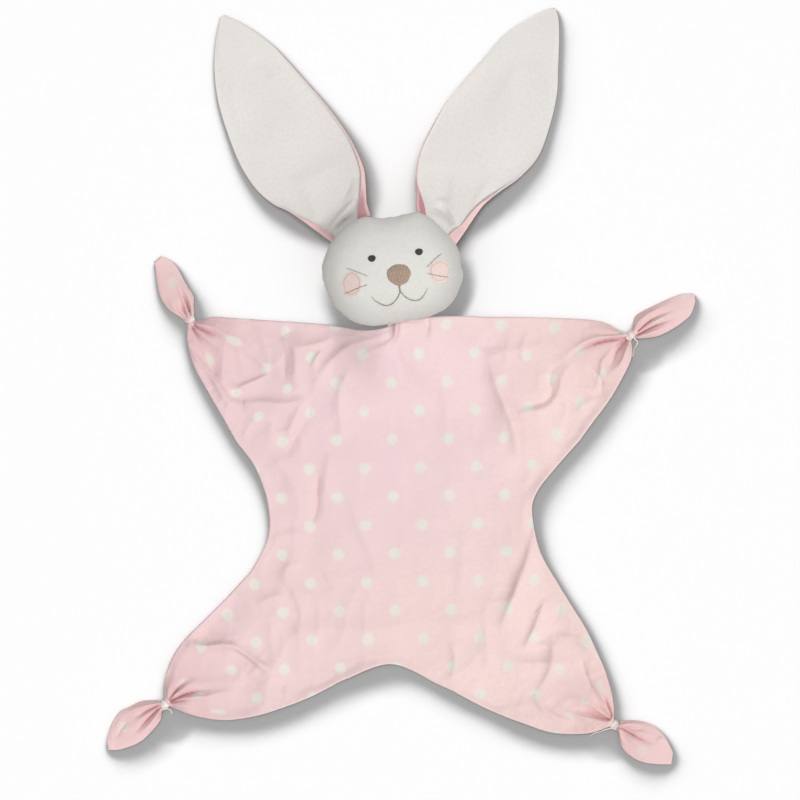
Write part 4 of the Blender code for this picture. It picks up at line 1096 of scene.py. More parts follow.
def gather_heights(plane):
    """Small folds that fan out from each tie and run out in the cloth, each at its own angle and length, and
    wider the further out they are."""
    height = np.zeros(plane.shape[:-1])
    for seed, (limb, (reach, aim)) in enumerate(GATHERS.items()):
        chance = np.random.default_rng(80 + seed)
        tie = bundle_frame(limb)[0]
        offset = plane - tie
        away = np.linalg.norm(offset, axis=-1)
        inward = unit(plan(aim) - tie)
        turn = np.arctan2(offset @ left_of(inward), offset @ inward)
        turn = turn + GATHER_WANDER * cloth_noise(plane, GATHER_WANDER_SIZE, 90 + seed)
        for k in range(GATHER_COUNT):
            share = (k + chance.uniform(0.2, 0.8)) / GATHER_COUNT
            angle = math.radians(mix(-GATHER_WIDEST, GATHER_WIDEST, share))
            length = reach * chance.uniform(0.55, 1.5)
            across = away * np.sin(np.clip(turn - angle, -1.4, 1.4))
            toward = np.sign(across)[..., None] * left_of(unit(offset))
            width = GATHER_WIDTH + GATHER_WIDENING * away
            near = np.abs(turn - angle) < 1.2
            fade = smooth(away / GATHER_CLEAR) * np.exp(-((away / length) ** 2)) * near
            rise = GATHER_RISE * chance.uniform(0.5, 1.1)
            height += rise * fade * fold_height(np.abs(across), toward, width)
    return height


def looseness(plane):
    """How crumpled the cloth is: most in the limbs, least in the middle of the blanket."""
    offset = (plane - plan(CALM_PIXEL)) / (np.array(CALM_PIXELS) * PIXEL)
    return 0.3 + 0.7 * smooth((np.linalg.norm(offset, axis=-1) - 0.55) / 0.75)


def tie_nearness(plane, reach):
    """From 0 in the open cloth to 1 at a tie, as a bell curve of the distance to the nearest one."""
    away = np.min([np.linalg.norm(plane - bundle_frame(limb)[0], axis=-1) for limb in LIMB_PIXELS], axis=0)
    return np.exp(-((away / reach) ** 2))


def with_tie_shade(plane, shade_share):
    """The painted shade inside a crease, and at least the painted shade that darkens the cloth around a tie.
    """
    return np.maximum(shade_share, TIE_SHADE * tie_nearness(plane, TIE_SHADE_REACH))


def seam_pucker(away, place):
    """The small ripples along the seam: noise on the place along it, which fades away from it."""
    ripples = cloth_noise(np.stack((place * len(OUTLINE) * 1.1, away / (40 * MM)), axis=-1), 1.0, PUCKER_SEED)
    return PUCKER * ripples * np.exp(-away / PUCKER_REACH) * smooth(away / PUCKER_START)


def blanket_heights(plane):
    """The upper and the lower face of the double cloth over points in the plane, the folds on the upper one
    and how much painted shade each place carries in creases and around the ties. Both faces climb to the
    neck and lift a little at the sewn edge. Between them the cloth swells from a rounded seam and around the
    ties, and the upper face carries waves, facets and the pucker along the seam."""
    away, place = seam_distance(plane)
    lift = EDGE_LIFT * np.exp(-away / EDGE_REACH) * (1 + 0.5 * cloth_noise(plane, *WAVES[0][1:]))
    lower = CLOTH_REST + neck_rise(plane) + lift
    turned = np.sqrt(1 - (1 - np.minimum(away / SEAM_ROUND, 1)) ** 2)
    thick = SEAM_EDGE + SEAM_THICK * turned + LOFT * smooth((away - SEAM_ROUND) / LOFT_REACH)
    loose = layered(cloth_noise, plane, WAVES) + looseness(plane) * layered(facets, plane, FACETS)
    upper = lower + thick + smooth(away / LOOSE_START) * loose + seam_pucker(away, place)
    swell = TIE_SWELL * tie_nearness(plane, TIE_SWELL_REACH)
    upper = upper + smooth(away / TIE_SWELL_START) * swell
    creased, shade_share = crease_heights(plane, CREASES)
    folds = smooth(away / FOLD_START) * (creased + gather_heights(plane))
    return upper, lower, folds, with_tie_shade(plane, shade_share)


# How far the cloth has shifted along itself about places on the photograph, and over what reach
SHIFTS = (
    ((248, 362), (12, 15), 46),
    ((250, 374), (6, -1), 66),
    ((572, 392), (-8, -6), 48),
    ((545, 342), (-3, 7), 42),
    ((606, 368), (-8, 0), 24),
    ((590, 686), (-6, 6), 36),
    ((576, 648), (-4, 5), 40),
    ((214, 640), (1, 4), 34),
    ((228, 675), (3, -2), 24),
)


def printed(plane):
    """The place on the flat printed cloth of each place on the blanket."""
    flat = plane.copy()
    for pixel, shift, reach in SHIFTS:
        near = np.exp(-((np.linalg.norm(plane - plan(pixel), axis=-1) / (reach * PIXEL)) ** 2))
        flat = flat - near[..., None] * np.array(shift) * (PIXEL, -PIXEL)
    return flat


def fold_line(limb):
    """A limb's fold line at the torso: its two ends and the direction out to the limb."""
    pixels = LIMB_PIXELS[limb]
    start, end = plan(pixels["first"][0]), plan(pixels["second"][0])
    outward = left_of(unit(end - start))
    if outward @ (plan(pixels["tie"]) - start) < 0:
        outward = -outward
    return start, end, outward


def fold_places(limb):
    """Shares along a limb's fold line, close together at its two seams."""
    start, end, _ = fold_line(limb)
    return edge_places(FOLD_STEPS, np.linalg.norm(end - start))


def patch_area(outline):
    """The area inside a closed line: half the sum of the cross products of neighbouring points."""
    after = np.roll(outline, -1, axis=0)
    return abs((outline[:, 0] * after[:, 1] - outline[:, 1] * after[:, 0]).sum()) / 2


def make_torso():
    """The middle of the blanket: the patch between its top, its bottom and its two side lines, each of
    which runs along the fold line of an arm, the free edge and the fold line of a leg."""
    sides = []
    for upper, middle, lower in (
        ("arm_left", TORSO_LEFT_PIXELS, "leg_left"),
        ("arm_right", TORSO_RIGHT_PIXELS, "leg_right"),
    ):
        lines = []
        for limb in (upper, lower):
            start, end, _ = fold_line(limb)
            lines.append(mix(start, end, fold_places(limb)[:, None]))
        curve = curve_at(plan(middle), np.linspace(0, 1, SIDE_STEPS))
        sides.append(np.vstack((lines[0], curve[1:-1], lines[1])))
    u = edge_places(TORSO_ACROSS, TORSO_RIM_WIDTH)
    steps = np.linalg.norm(np.diff(sides[0] + sides[1], axis=0), axis=1)
    v = np.concatenate(([0], np.cumsum(steps))) / steps.sum()
    top = curve_at(plan(TORSO_TOP_PIXELS), u)
    bottom = curve_at(plan(TORSO_BOTTOM_PIXELS), u)
    plane = between_edges(top, bottom, sides[0], sides[1], u, v)
    upper, lower, folds, shade_share = blanket_heights(plane)
    upper = with_height(plane, np.maximum(upper + folds, lower + SEAM_EDGE))
    lower = with_height(plane, lower)
    piece = two_sided("blanket_middle", upper, lower, DOTTED_COTTON, printed(plane), shade_share)
    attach(piece, "torso")
    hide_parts("torso_front_panel", "torso_back_panel")


def make_limb(limb):
    """A limb: straight lines between its two side edges, drawn together into a fluted bundle at the tie. Its
    print is laid on the cloth before it is drawn together, so that it spreads there."""
    s = np.linspace(0, 1, LIMB_STEPS)
    t = fold_places(limb)
    first, second = [curve_at(edge, s) for edge in limb_edges(limb)]
    plane = mix(first[:, None], second[:, None], t[None, :, None])
    upper, lower, folds, shade_share = blanket_heights(plane)
    s, t = s[:, None], t[None, :]
    q = 2 * t - 1
    gather = smooth((s - GATHER_START) / (1 - GATHER_START))
    kept = 1 - smooth((s - FOLDS_END) / (1 - FOLDS_END))
    round_share = np.sqrt(np.clip(1 - q**2, 0, 1))
    flutes = LIMB_FLUTE * np.cos(2 * np.pi * LIMB_FLUTES * t + 0.6) * round_share
    half = BUNDLE_THICK / 2 * (0.08 + 0.92 * round_share)
    upper = mix(upper, BUNDLE_HEIGHT + half + flutes, gather)
    lower = mix(lower, BUNDLE_HEIGHT - half - flutes * 0.5, gather)
    upper = np.maximum(upper + folds * kept, lower + SEAM_EDGE)
    width = np.linalg.norm(second - first, axis=1)[:, None]
    spread = PRINT_SPREAD * smooth((s - PRINT_SPREAD_START) / (1 - PRINT_SPREAD_START))
    sideways = unit(second - first)[:, None]
    pattern = printed(plane) + sideways * (q / 2 * width * spread)[..., None]
    upper, lower = with_height(plane, upper), with_height(plane, lower)
    piece = two_sided(limb + "_cloth", upper, lower, DOTTED_COTTON, pattern, shade_share * kept)
    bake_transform(piece)
    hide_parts(limb + "_front_panel", limb + "_back_panel")


# The cloth in a tie: how far the thread draws it in, how it widens beyond, its ends, and its flutes
WAIST = 0.14
WAIST_REACH = 1.6 * MM
FLARE = 0.10
FLARE_START = 2.6 * MM
FLARE_REACH = 2 * MM
BUNDLE_END = 5.0 * MM
FLUTE = 0.09
FLUTE_START = 1.0 * MM
FLUTE_REACH = 1.5 * MM
FLUTE_TWIST = 1.4 * MM
BUNDLE_PRINT_SPREAD = 1.5


def make_bundle(limb):
    """The cloth inside a tie: an oval tube with flutes, which are smoothed out in the middle, where the
    thread draws it in, and with rounded ends."""
    tie, axis, across = bundle_frame(limb)
    along = np.linspace(*BUNDLE_ENDS, BUNDLE_STEPS)[:, None]
    turn = circle(BUNDLE_AROUND)[None, :]
    waist = 1 - WAIST * np.exp(-((along / WAIST_REACH) ** 2))
    waist = waist + FLARE * smooth((np.abs(along) - FLARE_START) / FLARE_REACH)
    ends = np.sqrt(np.clip(1 - (np.abs(along) / BUNDLE_END) ** 8, 0.02, 1))
    open_share = smooth((np.abs(along) - FLUTE_START) / FLUTE_REACH)
    flutes = 1 + FLUTE * np.cos(BUNDLE_FLUTES * turn + along / FLUTE_TWIST) * open_share
    reach = waist * ends * flutes
    side = BUNDLE_WIDTH / 2 * reach * np.cos(turn)
    height = BUNDLE_HEIGHT + BUNDLE_THICK / 2 * reach * np.sin(turn)
    plane = tie + axis * along[..., None] + across * side[..., None]
    uv = plane + across * (side * BUNDLE_PRINT_SPREAD)[..., None]
    piece = dome(limb + "_bundle", with_height(plane, height), DOTTED_COTTON, uv)
    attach(piece, limb + "_tie")
    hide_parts(limb + "_gathered_neck")


# The thread's turns: how far apart they are in threads, how far they wander and swell; and its loose end:
# the height that it drops to, how high it arches, and how close to the surface it may come
THREAD_PITCH = 1.1
THREAD_WANDER = 0.14 * MM
THREAD_SWELL = 0.04
TAIL_HEIGHT = 0.8 * MM
TAIL_ARCH = 0.5 * MM
TAIL_REST = 0.1 * MM


def make_thread(limb, seed):
    """The thread wound round a bundle: an oval helix whose turns wander a little, with a loose end that
    drops to the surface and thins out."""
    tie, axis, across = bundle_frame(limb)
    wander = np.random.default_rng(seed).uniform(-1, 1, 8)
    turn = np.linspace(0, TIE_TURNS, TIE_TURNS * THREAD_STEPS + 1)
    along = (turn - TIE_TURNS / 2) * THREAD * THREAD_PITCH
    along = along + THREAD_WANDER * np.sin(turn * 2.3 + wander[0] * 3)
    swell = 1 + THREAD_SWELL * np.sin(turn * 4.1 + wander[1] * 3)
    tail = plan(LIMB_PIXELS[limb]["tail"])
    start = 0 if (tail[0] - tie) @ across > 0 else np.pi
    side = (BUNDLE_WIDTH / 2 * 0.88 + THREAD / 2) * np.cos(2 * np.pi * turn + start) * swell
    up = (BUNDLE_THICK / 2 * 0.9 + THREAD / 2) * np.sin(2 * np.pi * turn + start) * swell
    path = with_height(tie + axis * along[:, None] + across * side[:, None], BUNDLE_HEIGHT + up)
    loose = curve_at(np.vstack((path[-1, :2], tail)), np.linspace(0, 1, THREAD_STEPS))[1:]
    share = np.linspace(0, 1, len(loose))
    drop = mix(path[-1, 2], TAIL_HEIGHT, smooth(share * 1.3)) + TAIL_ARCH * np.sin(np.pi * share)
    path = np.vstack((path, with_height(loose, drop)))
    path[:, 2] = np.maximum(path[:, 2], THREAD / 2 + TAIL_REST)
    radius = np.full(len(path), THREAD / 2)
    radius[-len(loose):] = mix(THREAD / 2, THREAD / 3.2, share)
    piece = thread_tube(limb + "_thread", path, radius, (*axis, 0.15), WHITE_THREAD, ply=0.12)
    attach(piece, limb + "_tie")
    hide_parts(limb + "_tie_thread")


# A dot that shows on each tip
TIP_DOT_PIXELS = {
    "arm_left": (173.5, 283), "arm_right": (657, 320), "leg_left": (123.5, 727), "leg_right": (642, 751),
}
# Folds and creases that run out from the tie over each tip
TIP_CREASES = {
    "arm_left": (
        (((190.5, 314), (188.5, 308.5), (185.5, 300.5), (182.5, 293.5), (179, 286)), -3.0, 0.8, 1.1, True),
        (((186.5, 316), (184.5, 312), (181.5, 305), (179.5, 298)), -2.2, 0.8, 1.3, True),
        (((192, 314), (191.3, 306), (188.5, 297), (184, 288), (177, 276)), 1.8, 1.0, 2.4, True),
        (((188, 315), (186.3, 308.5), (183.5, 300), (179.5, 289), (173, 278)), 1.6, 0.9, 2.2, True),
        (((184.5, 317), (180, 312.5), (174, 307), (166, 297)), 1.5, 1.0, 2.6, True),
        (((184, 318), (178, 311), (175, 306), (174, 300)), -1.4, 0.9, 1.4, True),
    ),
    "arm_right": (
        (((635, 334), (641, 328.5), (649, 321.5), (659, 315.3), (670, 311.5), (679, 308)),
         -2.4, 0.8, 1.6, True),
        (((637, 335), (643, 332), (649, 328.8), (657, 325), (669, 320.3), (678, 316)), -3.0, 0.8, 1.2, True),
        (((636, 334.5), (645, 327), (653, 322), (663, 317.5), (676, 311)), 1.6, 0.9, 2.0, True),
        (((637, 337), (648, 333.5), (660, 329), (672, 322)), 1.6, 1.0, 2.2, True),
        (((634, 330), (638, 322), (647, 314.5), (660, 308), (676, 301)), 1.8, 1.0, 2.8, True),
        (((635, 331), (638.5, 324), (640, 318)), -1.6, 0.8, 1.2, True),
    ),
    "leg_left": (
        (((160.5, 706.5), (152.5, 714.5), (145, 722), (137, 730), (130, 736)), -2.8, 0.8, 1.4, True),
        (((158.5, 705), (149, 709.7), (140, 714), (131, 717)), -2.2, 0.8, 1.6, True),
        (((162, 709.5), (159.5, 716), (154, 724)), -1.8, 0.8, 1.2, True),
        (((160, 706), (150, 712), (141, 718), (130, 725)), 1.6, 0.9, 2.2, True),
        (((160, 702.5), (146, 705), (132, 709.5), (120, 718)), 1.6, 1.0, 2.6, True),
        (((161.5, 708.5), (156, 716), (147, 727), (134, 739)), 1.6, 0.9, 2.4, True),
        (((128, 720), (122, 728), (116, 738)), -1.0, 1.4, 1.6, False),
    ),
    "leg_right": (
        (((620, 726.8), (628, 731.8), (638, 737.6), (648, 741.8), (657, 743)), -3.0, 0.7, 1.1, True),
        (((621, 726), (630, 729.3), (639, 729.4), (647, 729)), -1.8, 0.8, 1.4, True),
        (((620, 725.5), (629, 727.5), (640, 731.5), (652, 735), (662, 738)), 1.6, 0.9, 2.0, True),
        (((619.5, 728), (625, 733.5), (632, 740), (641, 747), (650, 752)), 1.6, 0.9, 2.4, True),
        (((619.5, 724.5), (630, 722.8), (643, 724), (655, 729)), 1.2, 0.9, 2.2, True),
        (((618.5, 729.5), (621, 738), (627, 747)), 1.4, 0.9, 2.2, True),
        (((656, 742), (661, 738), (668, 740)), 0.9, 1.2, 1.4, False),
    ),
}


def make_tip(limb, seed):
    """The loose corner beyond a tie: a leaf of double cloth between its two edges that opens from the bundle
    and narrows to a rounded end, with folds that run out of the tie and small ripples."""
    tie, axis, across = bundle_frame(limb)
    end_steps = 1 - (1 - TIP_END) * (1 - np.linspace(0, 1, TIP_END_STEPS)[1:]) ** 1.5
    s = np.concatenate((np.linspace(0, TIP_END, TIP_STEPS), end_steps))
    t = edge_places(TIP_ACROSS, TIP_FLAT_WIDTH)
    edges = []
    for key, sign in (("tip_first", -1), ("tip_second", 1)):
        corner = tie + axis * TIE_HALF + across * sign * BUNDLE_WIDTH / 2 * 0.92
        edges.append(curve_at(np.vstack((corner, plan(LIMB_PIXELS[limb][key]))), s))
    plane = mix(edges[0][:, None], edges[1][:, None], t[None, :, None])
    s, t = s[:, None], t[None, :]
    round_share = np.sqrt(np.clip(1 - (2 * t - 1) ** 2, 0, 1))
    open_share = smooth(s / TIP_OPEN)
    crown = round_share * (1 - 0.5 * smooth((s - 0.5) / 0.5))
    height = mix(BUNDLE_THICK, TIP_HEIGHT * TIP_SPREAD, open_share) * (0.12 + 0.88 * crown)
    folds, shade_share = crease_heights(plane, TIP_CREASES[limb])
    folds = folds * TIP_FOLD_RISE * smooth(s / 0.05)
    local = plane - plane.mean(axis=(0, 1))
    ripple = layered(cloth_noise, local, ((*TIP_RIPPLE, seed),))
    ripple = ripple + layered(facets, local, ((*TIP_FACETS, seed + 4),))
    free = smooth(np.minimum(t, 1 - t) / TIP_FREE) * smooth((1 - s) / TIP_FREE)
    flat_low = TIP_REST + TIP_EDGE_LIFT * (1 - round_share)
    low = mix(BUNDLE_HEIGHT - BUNDLE_THICK / 2 * round_share, flat_low, open_share)
    end_round = np.sqrt(1 - (1 - np.clip((1 - s) / TIP_END_ROUND, 0, 1)) ** 2)
    upper = low + SEAM_EDGE + height * (0.3 + 0.7 * end_round) + free * (folds + ripple)
    upper, lower = with_height(plane, np.maximum(upper, low + SEAM_EDGE)), with_height(plane, low)
    pattern = plane - plan(TIP_DOT_PIXELS[limb]) + plan(DOT_PIXEL)
    # The tip's mesh carries painted shade in its creases and around the tie
    piece = two_sided(limb + "_tip_cloth", upper, lower, TIP_COTTON, pattern, with_tie_shade(plane, shade_share))
    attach(piece, limb + "_tip")
    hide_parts(limb + "_tip")


# Head


HEAD_CENTRE = seen(HEAD_CENTRE_PIXEL, SEAM_HEIGHT)
HEAD_LINE = curve_at(seen(HEAD_PIXELS, SEAM_HEIGHT), np.linspace(0, 1, 400), closed=True) - HEAD_CENTRE
HEAD_TURNS = np.arctan2(HEAD_LINE[:, 1], HEAD_LINE[:, 0])
HEAD_REACHES = np.linalg.norm(HEAD_LINE, axis=1)
# Turns over which the outline is evened out near the middle
HEAD_SPREAD = np.radians((-36, -24, -12, 0, 12, 24, 36))


def head_reach(turn, share):
    """The distance from the head's middle to its side at a share of the way out: an even oval near the
    middle, and the outline itself at the seam."""
    outline = np.interp(turn, HEAD_TURNS, HEAD_REACHES, period=2 * math.pi)
    spread = [np.interp(turn + step, HEAD_TURNS, HEAD_REACHES, period=2 * math.pi) for step in HEAD_SPREAD]
    return mix(sum(spread) / len(spread), outline, smooth((share - 0.55) / 0.42))


def flat_share(over):
    """How far out from the head's middle a ring lies, from 0 to 1: a power of the sine of its angle from the
    top, which makes the sides rounder."""
    return np.sin(over) ** (2 / HEAD_ROUNDNESS)


def blown_up(form):
    """Runs the cloth simulation on a closed piece: its seam is held, gravity is off, and air presses from
    inside. Gives its points before and after."""
    before = mesh_points(form.data)
    seam = form.vertex_groups.new(name="seam")
    held = np.flatnonzero(before[:, 2] < SEAM_HEIGHT + 0.4 * SWELL_VOXEL)
    seam.add(held.tolist(), 1.0, "REPLACE")
    cloth = form.modifiers.new("stuffing", "CLOTH")
    cloth.settings.use_pressure = True
    cloth.settings.uniform_pressure_force = SWELL_PRESSURE
    cloth.settings.effector_weights.gravity = 0
    cloth.settings.vertex_group_mass = "seam"
    cloth.settings.tension_stiffness = SWELL_STIFFNESS
    cloth.settings.compression_stiffness = SWELL_STIFFNESS
    cloth.settings.shear_stiffness = SWELL_SHEAR
    cloth.settings.bending_stiffness = SWELL_BENDING
    cloth.point_cache.frame_end = SWELL_FRAMES
    for step in range(1, SWELL_FRAMES + 1):
        bpy.context.scene.frame_set(step)
    after = mesh_points(form.evaluated_get(bpy.context.evaluated_depsgraph_get()).data)
    bpy.context.scene.frame_set(1)
    return before, after


def stuff_head():
    """Blows up a coarse copy of the head's front and gives the places over the head and how far each has
    risen there. The copy starts lower by the swell and is remeshed evenly first."""
    over = np.linspace(SWELL_POLE, 1 - SWELL_POLE, SWELL_OVER)[:, None] * np.pi
    turn = circle(SWELL_AROUND)[None, :]
    share = flat_share(over)
    reach = head_reach(turn, share) * share
    plane = HEAD_CENTRE + around(turn) * reach[..., None]
    rise = np.cos(over) * (HEAD_FRONT - HEAD_SWELL)
    form = dome("head_form", with_height(plane, SEAM_HEIGHT + rise), HEAD_COTTON)
    even = form.modifiers.new("even_mesh", "REMESH")
    even.mode = "VOXEL"
    even.voxel_size = SWELL_VOXEL
    mesh = bpy.data.meshes.new_from_object(form.evaluated_get(bpy.context.evaluated_depsgraph_get()))
    form.modifiers.clear()
    form.data = mesh
    before, after = blown_up(form)
    bpy.data.objects.remove(form)
    front = before[:, 2] > SEAM_HEIGHT
    return before[front, :2], np.clip((after - before)[front, 2], 0, SWELL_CAP)


SWELL = stuff_head()


def head_swell(plane, bulge):
    """How far the stuffing pushes the head's cloth out over a place on its front: the mean of the rises
    nearby, each weighted by a bell curve of its distance, and nothing at the seam."""
    if SWELL is None:
        return HEAD_SWELL * bulge**3
    places, risen = SWELL
    flat = np.reshape(plane, (-1, 2))
    parts = []
    for some in np.array_split(flat, 1 + len(flat) // SWELL_PART):
        apart = ((some[:, None] - places) ** 2).sum(axis=-1)
        near = np.exp(-apart / SWELL_BLUR**2)
        parts.append((near @ risen) / (near.sum(axis=1) + 1e-6))
    return np.concatenate(parts).reshape(np.shape(plane)[:-1]) * smooth(bulge * 2.5)


def head_top(plane):
    """The height of the head's front: a rounded dome over the outline, with the swell of the stuffing and
    its lumps. The share of the way out depends on itself, so it is worked out in four rounds."""
    offset = plane - HEAD_CENTRE
    turn = np.arctan2(offset[..., 1], offset[..., 0])
    away = np.linalg.norm(offset, axis=-1)
    share = away / head_reach(turn, 0.5)
    for _ in range(4):
        share = np.clip(away / head_reach(turn, share), 0, 1)
    bulge = (1 - share**HEAD_ROUNDNESS) ** (1 / HEAD_ROUNDNESS)
    start = SEAM_HEIGHT + (HEAD_FRONT - HEAD_SWELL) * bulge
    lumps = layered(cloth_noise, offset, HEAD_LUMPS) * smooth(bulge * 1.6)
    return start + head_swell(plane, bulge) + lumps


def make_head():
    """The stuffed head: an oval swelling whose front and back meet at a pinched seam with small gathers. Its
    rings lie closer together at the seam, and its underside is pressed flat where it would meet the surface
    that the toy lies on."""
    over = np.linspace(HEAD_POLE, 1 - HEAD_POLE, HEAD_OVER)[:, None] * np.pi
    over = over + HEAD_CROWD * np.sin(2 * over)
    turn = circle(HEAD_AROUND)[None, :]
    flat = flat_share(over)
    # Painted shade: the cotton is drawn greyer near the seam on the head's left and right sides
    sides = smooth((flat - 0.6) / 0.4) * np.abs(np.cos(turn)) ** 1.5
    rise = np.sign(np.cos(over)) * np.abs(np.cos(over)) ** (2 / HEAD_ROUNDNESS)
    height = np.where(rise > 0, HEAD_FRONT - HEAD_SWELL, HEAD_BACK) * rise
    pinch = np.exp(-((height / HEAD_PINCH_REACH) ** 2))
    ring = np.broadcast_to(around(turn) * HEAD_RING, (HEAD_OVER, HEAD_AROUND, 2))
    gathers = layered(cloth_noise, ring, HEAD_GATHER_LAYERS)
    near_seam = np.exp(-(np.abs(height) / HEAD_GATHERS_REACH))
    reach = head_reach(turn, flat) * flat - HEAD_PINCH * pinch
    reach = reach + HEAD_GATHERS * gathers * near_seam * (1 - 0.5 * pinch) * (flat > 0.4)
    offset = around(turn) * reach[..., None]
    plane = HEAD_CENTRE + offset
    lumps = layered(cloth_noise, offset, HEAD_LUMPS) * smooth(np.abs(rise) * 1.6)
    front = lumps + head_swell(plane, np.clip(rise, 0, 1))
    z = SEAM_HEIGHT + height + np.where(rise > 0, front, -0.4 * lumps)
    pressed = HEAD_REST_LOW + (HEAD_REST - HEAD_REST_LOW) * np.clip(z / HEAD_REST, 0, 1) ** 2
    z = np.where(z < HEAD_REST, pressed, z)
    piece = dome("head_cover", with_height(plane, z), HEAD_COTTON, shade_share=sides)
    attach(piece, "head")
    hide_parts("head_front_panel", "head_back_panel", "head_stuffing")
    return piece


PLEAT_TOP_PIXELS = ((388, 325.4), (392, 323.2), (397, 320.6), (404, 318.8), (416, 317.2), (428, 315.8))
PLEAT_LOW_PIXELS = ((386, 334), (391, 339), (397, 341), (405, 335), (416, 331), (430, 327))
PLEAT_CREASES = (
    (((395, 318), (395.3, 326), (394.6, 333), (391, 339)), 2.6, 1.2, 2.0, True),
    (((398.8, 320), (398.6, 327), (397, 334)), -2.2, 0.9, 1.4, False),
    (((388, 323), (386, 329), (382, 334)), -1.2, 1.6, 2.0, False),
    (((397, 322), (403, 320.6), (411, 321), (420, 320.4), (427, 318.6)), -1.8, 1.0, 1.0, False),
)


def make_tuck():
    """The small pleat at the neck: a strip of cloth that laps from the head's seam onto the blanket, with
    its own creases, and lies on the blanket's folds."""
    u, v = np.linspace(0, 1, PLEAT_ACROSS), np.linspace(0, 1, PLEAT_DOWN)[:, None]
    top = curve_at(plan(PLEAT_TOP_PIXELS), u)
    low = curve_at(plan(PLEAT_LOW_PIXELS), u)
    plane = mix(top[None], low[None], v[..., None])
    upper, _, folds, shade_share = blanket_heights(plane)
    base = upper + folds
    creased, pleat_shade = crease_heights(plane, PLEAT_CREASES)
    fade = smooth(np.minimum(np.minimum(u, 1 - u) / 0.15, (1 - v) / 0.35))
    upper = base + PLEAT_CLEAR + fade * np.maximum(PLEAT_THICK + creased, PLEAT_CLEAR)
    upper, lower = with_height(plane, upper), with_height(plane, base - PLEAT_SINK)
    shade_share = np.maximum(shade_share, pleat_shade * fade)
    piece = two_sided("neck_pleat", upper, lower, DOTTED_COTTON, plane + PLEAT_SHIFT, shade_share)
    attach(piece, "neck")
    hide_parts("neck_tuck")


# Face


def on_face(pixels):
    """X and Y of what is seen at pixels of the photograph on the head's front."""
    return seen(pixels, FACE_HEIGHT)


# Satin stitches: the height of their ribs, how the ribs sway along their length and wander, the height, size
# and seed of the unevenness on them, the lift of a patch's edge, and how deep its last rings go down into the
# cloth. A cheek's thin patch has its own lift and depth.
STITCH_RIB = 0.13 * MM
STITCH_SWAY = 1.1
STITCH_SWAY_LENGTH = 1.6 * MM
STITCH_WANDER = (0.8, 2.5 * MM, 47)
STITCH_UNEVEN = (0.12 * MM, 1.0 * MM, 49)
STITCH_LIFT = 0.12 * MM
STITCH_SINK = 0.4 * MM
CHEEK_LIFT = 0.16 * MM
CHEEK_SINK = 0.3 * MM
# A row of stitches: how far the thread comes out between its dips, how wide it is there and at the ends of
# a line that thins out, and how far it swings
ROW_RISE = (0.25, 0.95)
ROW_WIDTH = (0.72, 1.05)
ROW_END = 0.45
ROW_SWING = 0.22


def satin_patch(name, pixel, reach, pitch, look, lift, seed, ragged, squared, replaces):
    """A filled patch of satin stitches: an oval with a slightly ragged edge, domed, ribbed by its threads,
    whose last two rings go down into the cloth."""
    turn = circle(240)[None, :]
    share = np.concatenate((np.linspace(0.02, 0.9, 60), np.linspace(0.92, 1.0, 6), (1.0, 0.9)))[:, None]
    edge = 1 + 0.014 * np.sin(7 * turn + seed) + ragged * np.sin(17 * turn + 2 * seed)
    edge = edge + squared * np.sin(3 * turn)
    local = around(turn) * reach * (share * edge)[..., None]
    side = np.array((math.cos(FACE_TURN), math.sin(FACE_TURN)))
    plane = on_face(pixel) + local[..., :1] * side + local[..., 1:] * left_of(side)
    bend = STITCH_SWAY * np.sin(local[..., 1] / STITCH_SWAY_LENGTH + seed)
    bend = bend + layered(cloth_noise, local, (STITCH_WANDER,))
    ribs = STITCH_RIB * np.cos(2 * np.pi * local[..., 0] / pitch + bend)
    ribs = ribs + layered(cloth_noise, local, (STITCH_UNEVEN,))
    height = STITCH_LIFT + (lift + ribs) * np.sqrt(np.clip(1 - share**2.6, 0, 1))
    below = np.arange(share.size)[:, None] >= share.size - 2
    z = head_top(plane) + np.where(below, -STITCH_SINK, height)
    piece = dome(name, with_height(plane, z), look, local)
    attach(piece, "head")
    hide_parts(replaces)


def stitch_line(name, plane, radius, look, stitch, lift=0.0, closed=False, taper=0, replaces=()):
    """A row of back stitches over the head: one thread that dips into the cloth and swings a little to the
    side between stitches, and thins out over the taper at its ends."""
    steps = np.linalg.norm(np.diff(plane, axis=0), axis=1)
    along = np.concatenate(([0], np.cumsum(steps)))
    beat = np.abs(np.sin(np.pi * along / stitch)) ** 0.5
    z = head_top(plane) + lift + radius * mix(*ROW_RISE, beat)
    slope = unit(np.gradient(plane, axis=0))
    plane = plane + left_of(slope) * (radius * ROW_SWING * np.sin(2 * np.pi * along / stitch))[:, None]
    ends = smooth(np.minimum(along, along[-1] - along) / taper) if taper else 1
    width = radius * mix(*ROW_WIDTH, beat) * mix(ROW_END, 1, ends)
    piece = thread_tube(name, with_height(plane, z), width, (0, 0, 1), look, ply=0.1, closed=closed)
    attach(piece, "head")
    if replaces:
        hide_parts(*replaces)


def face_line(pixels, points):
    """Places along a smooth curve through pixels on the face."""
    return curve_at(on_face(pixels), np.linspace(0, 1, points))


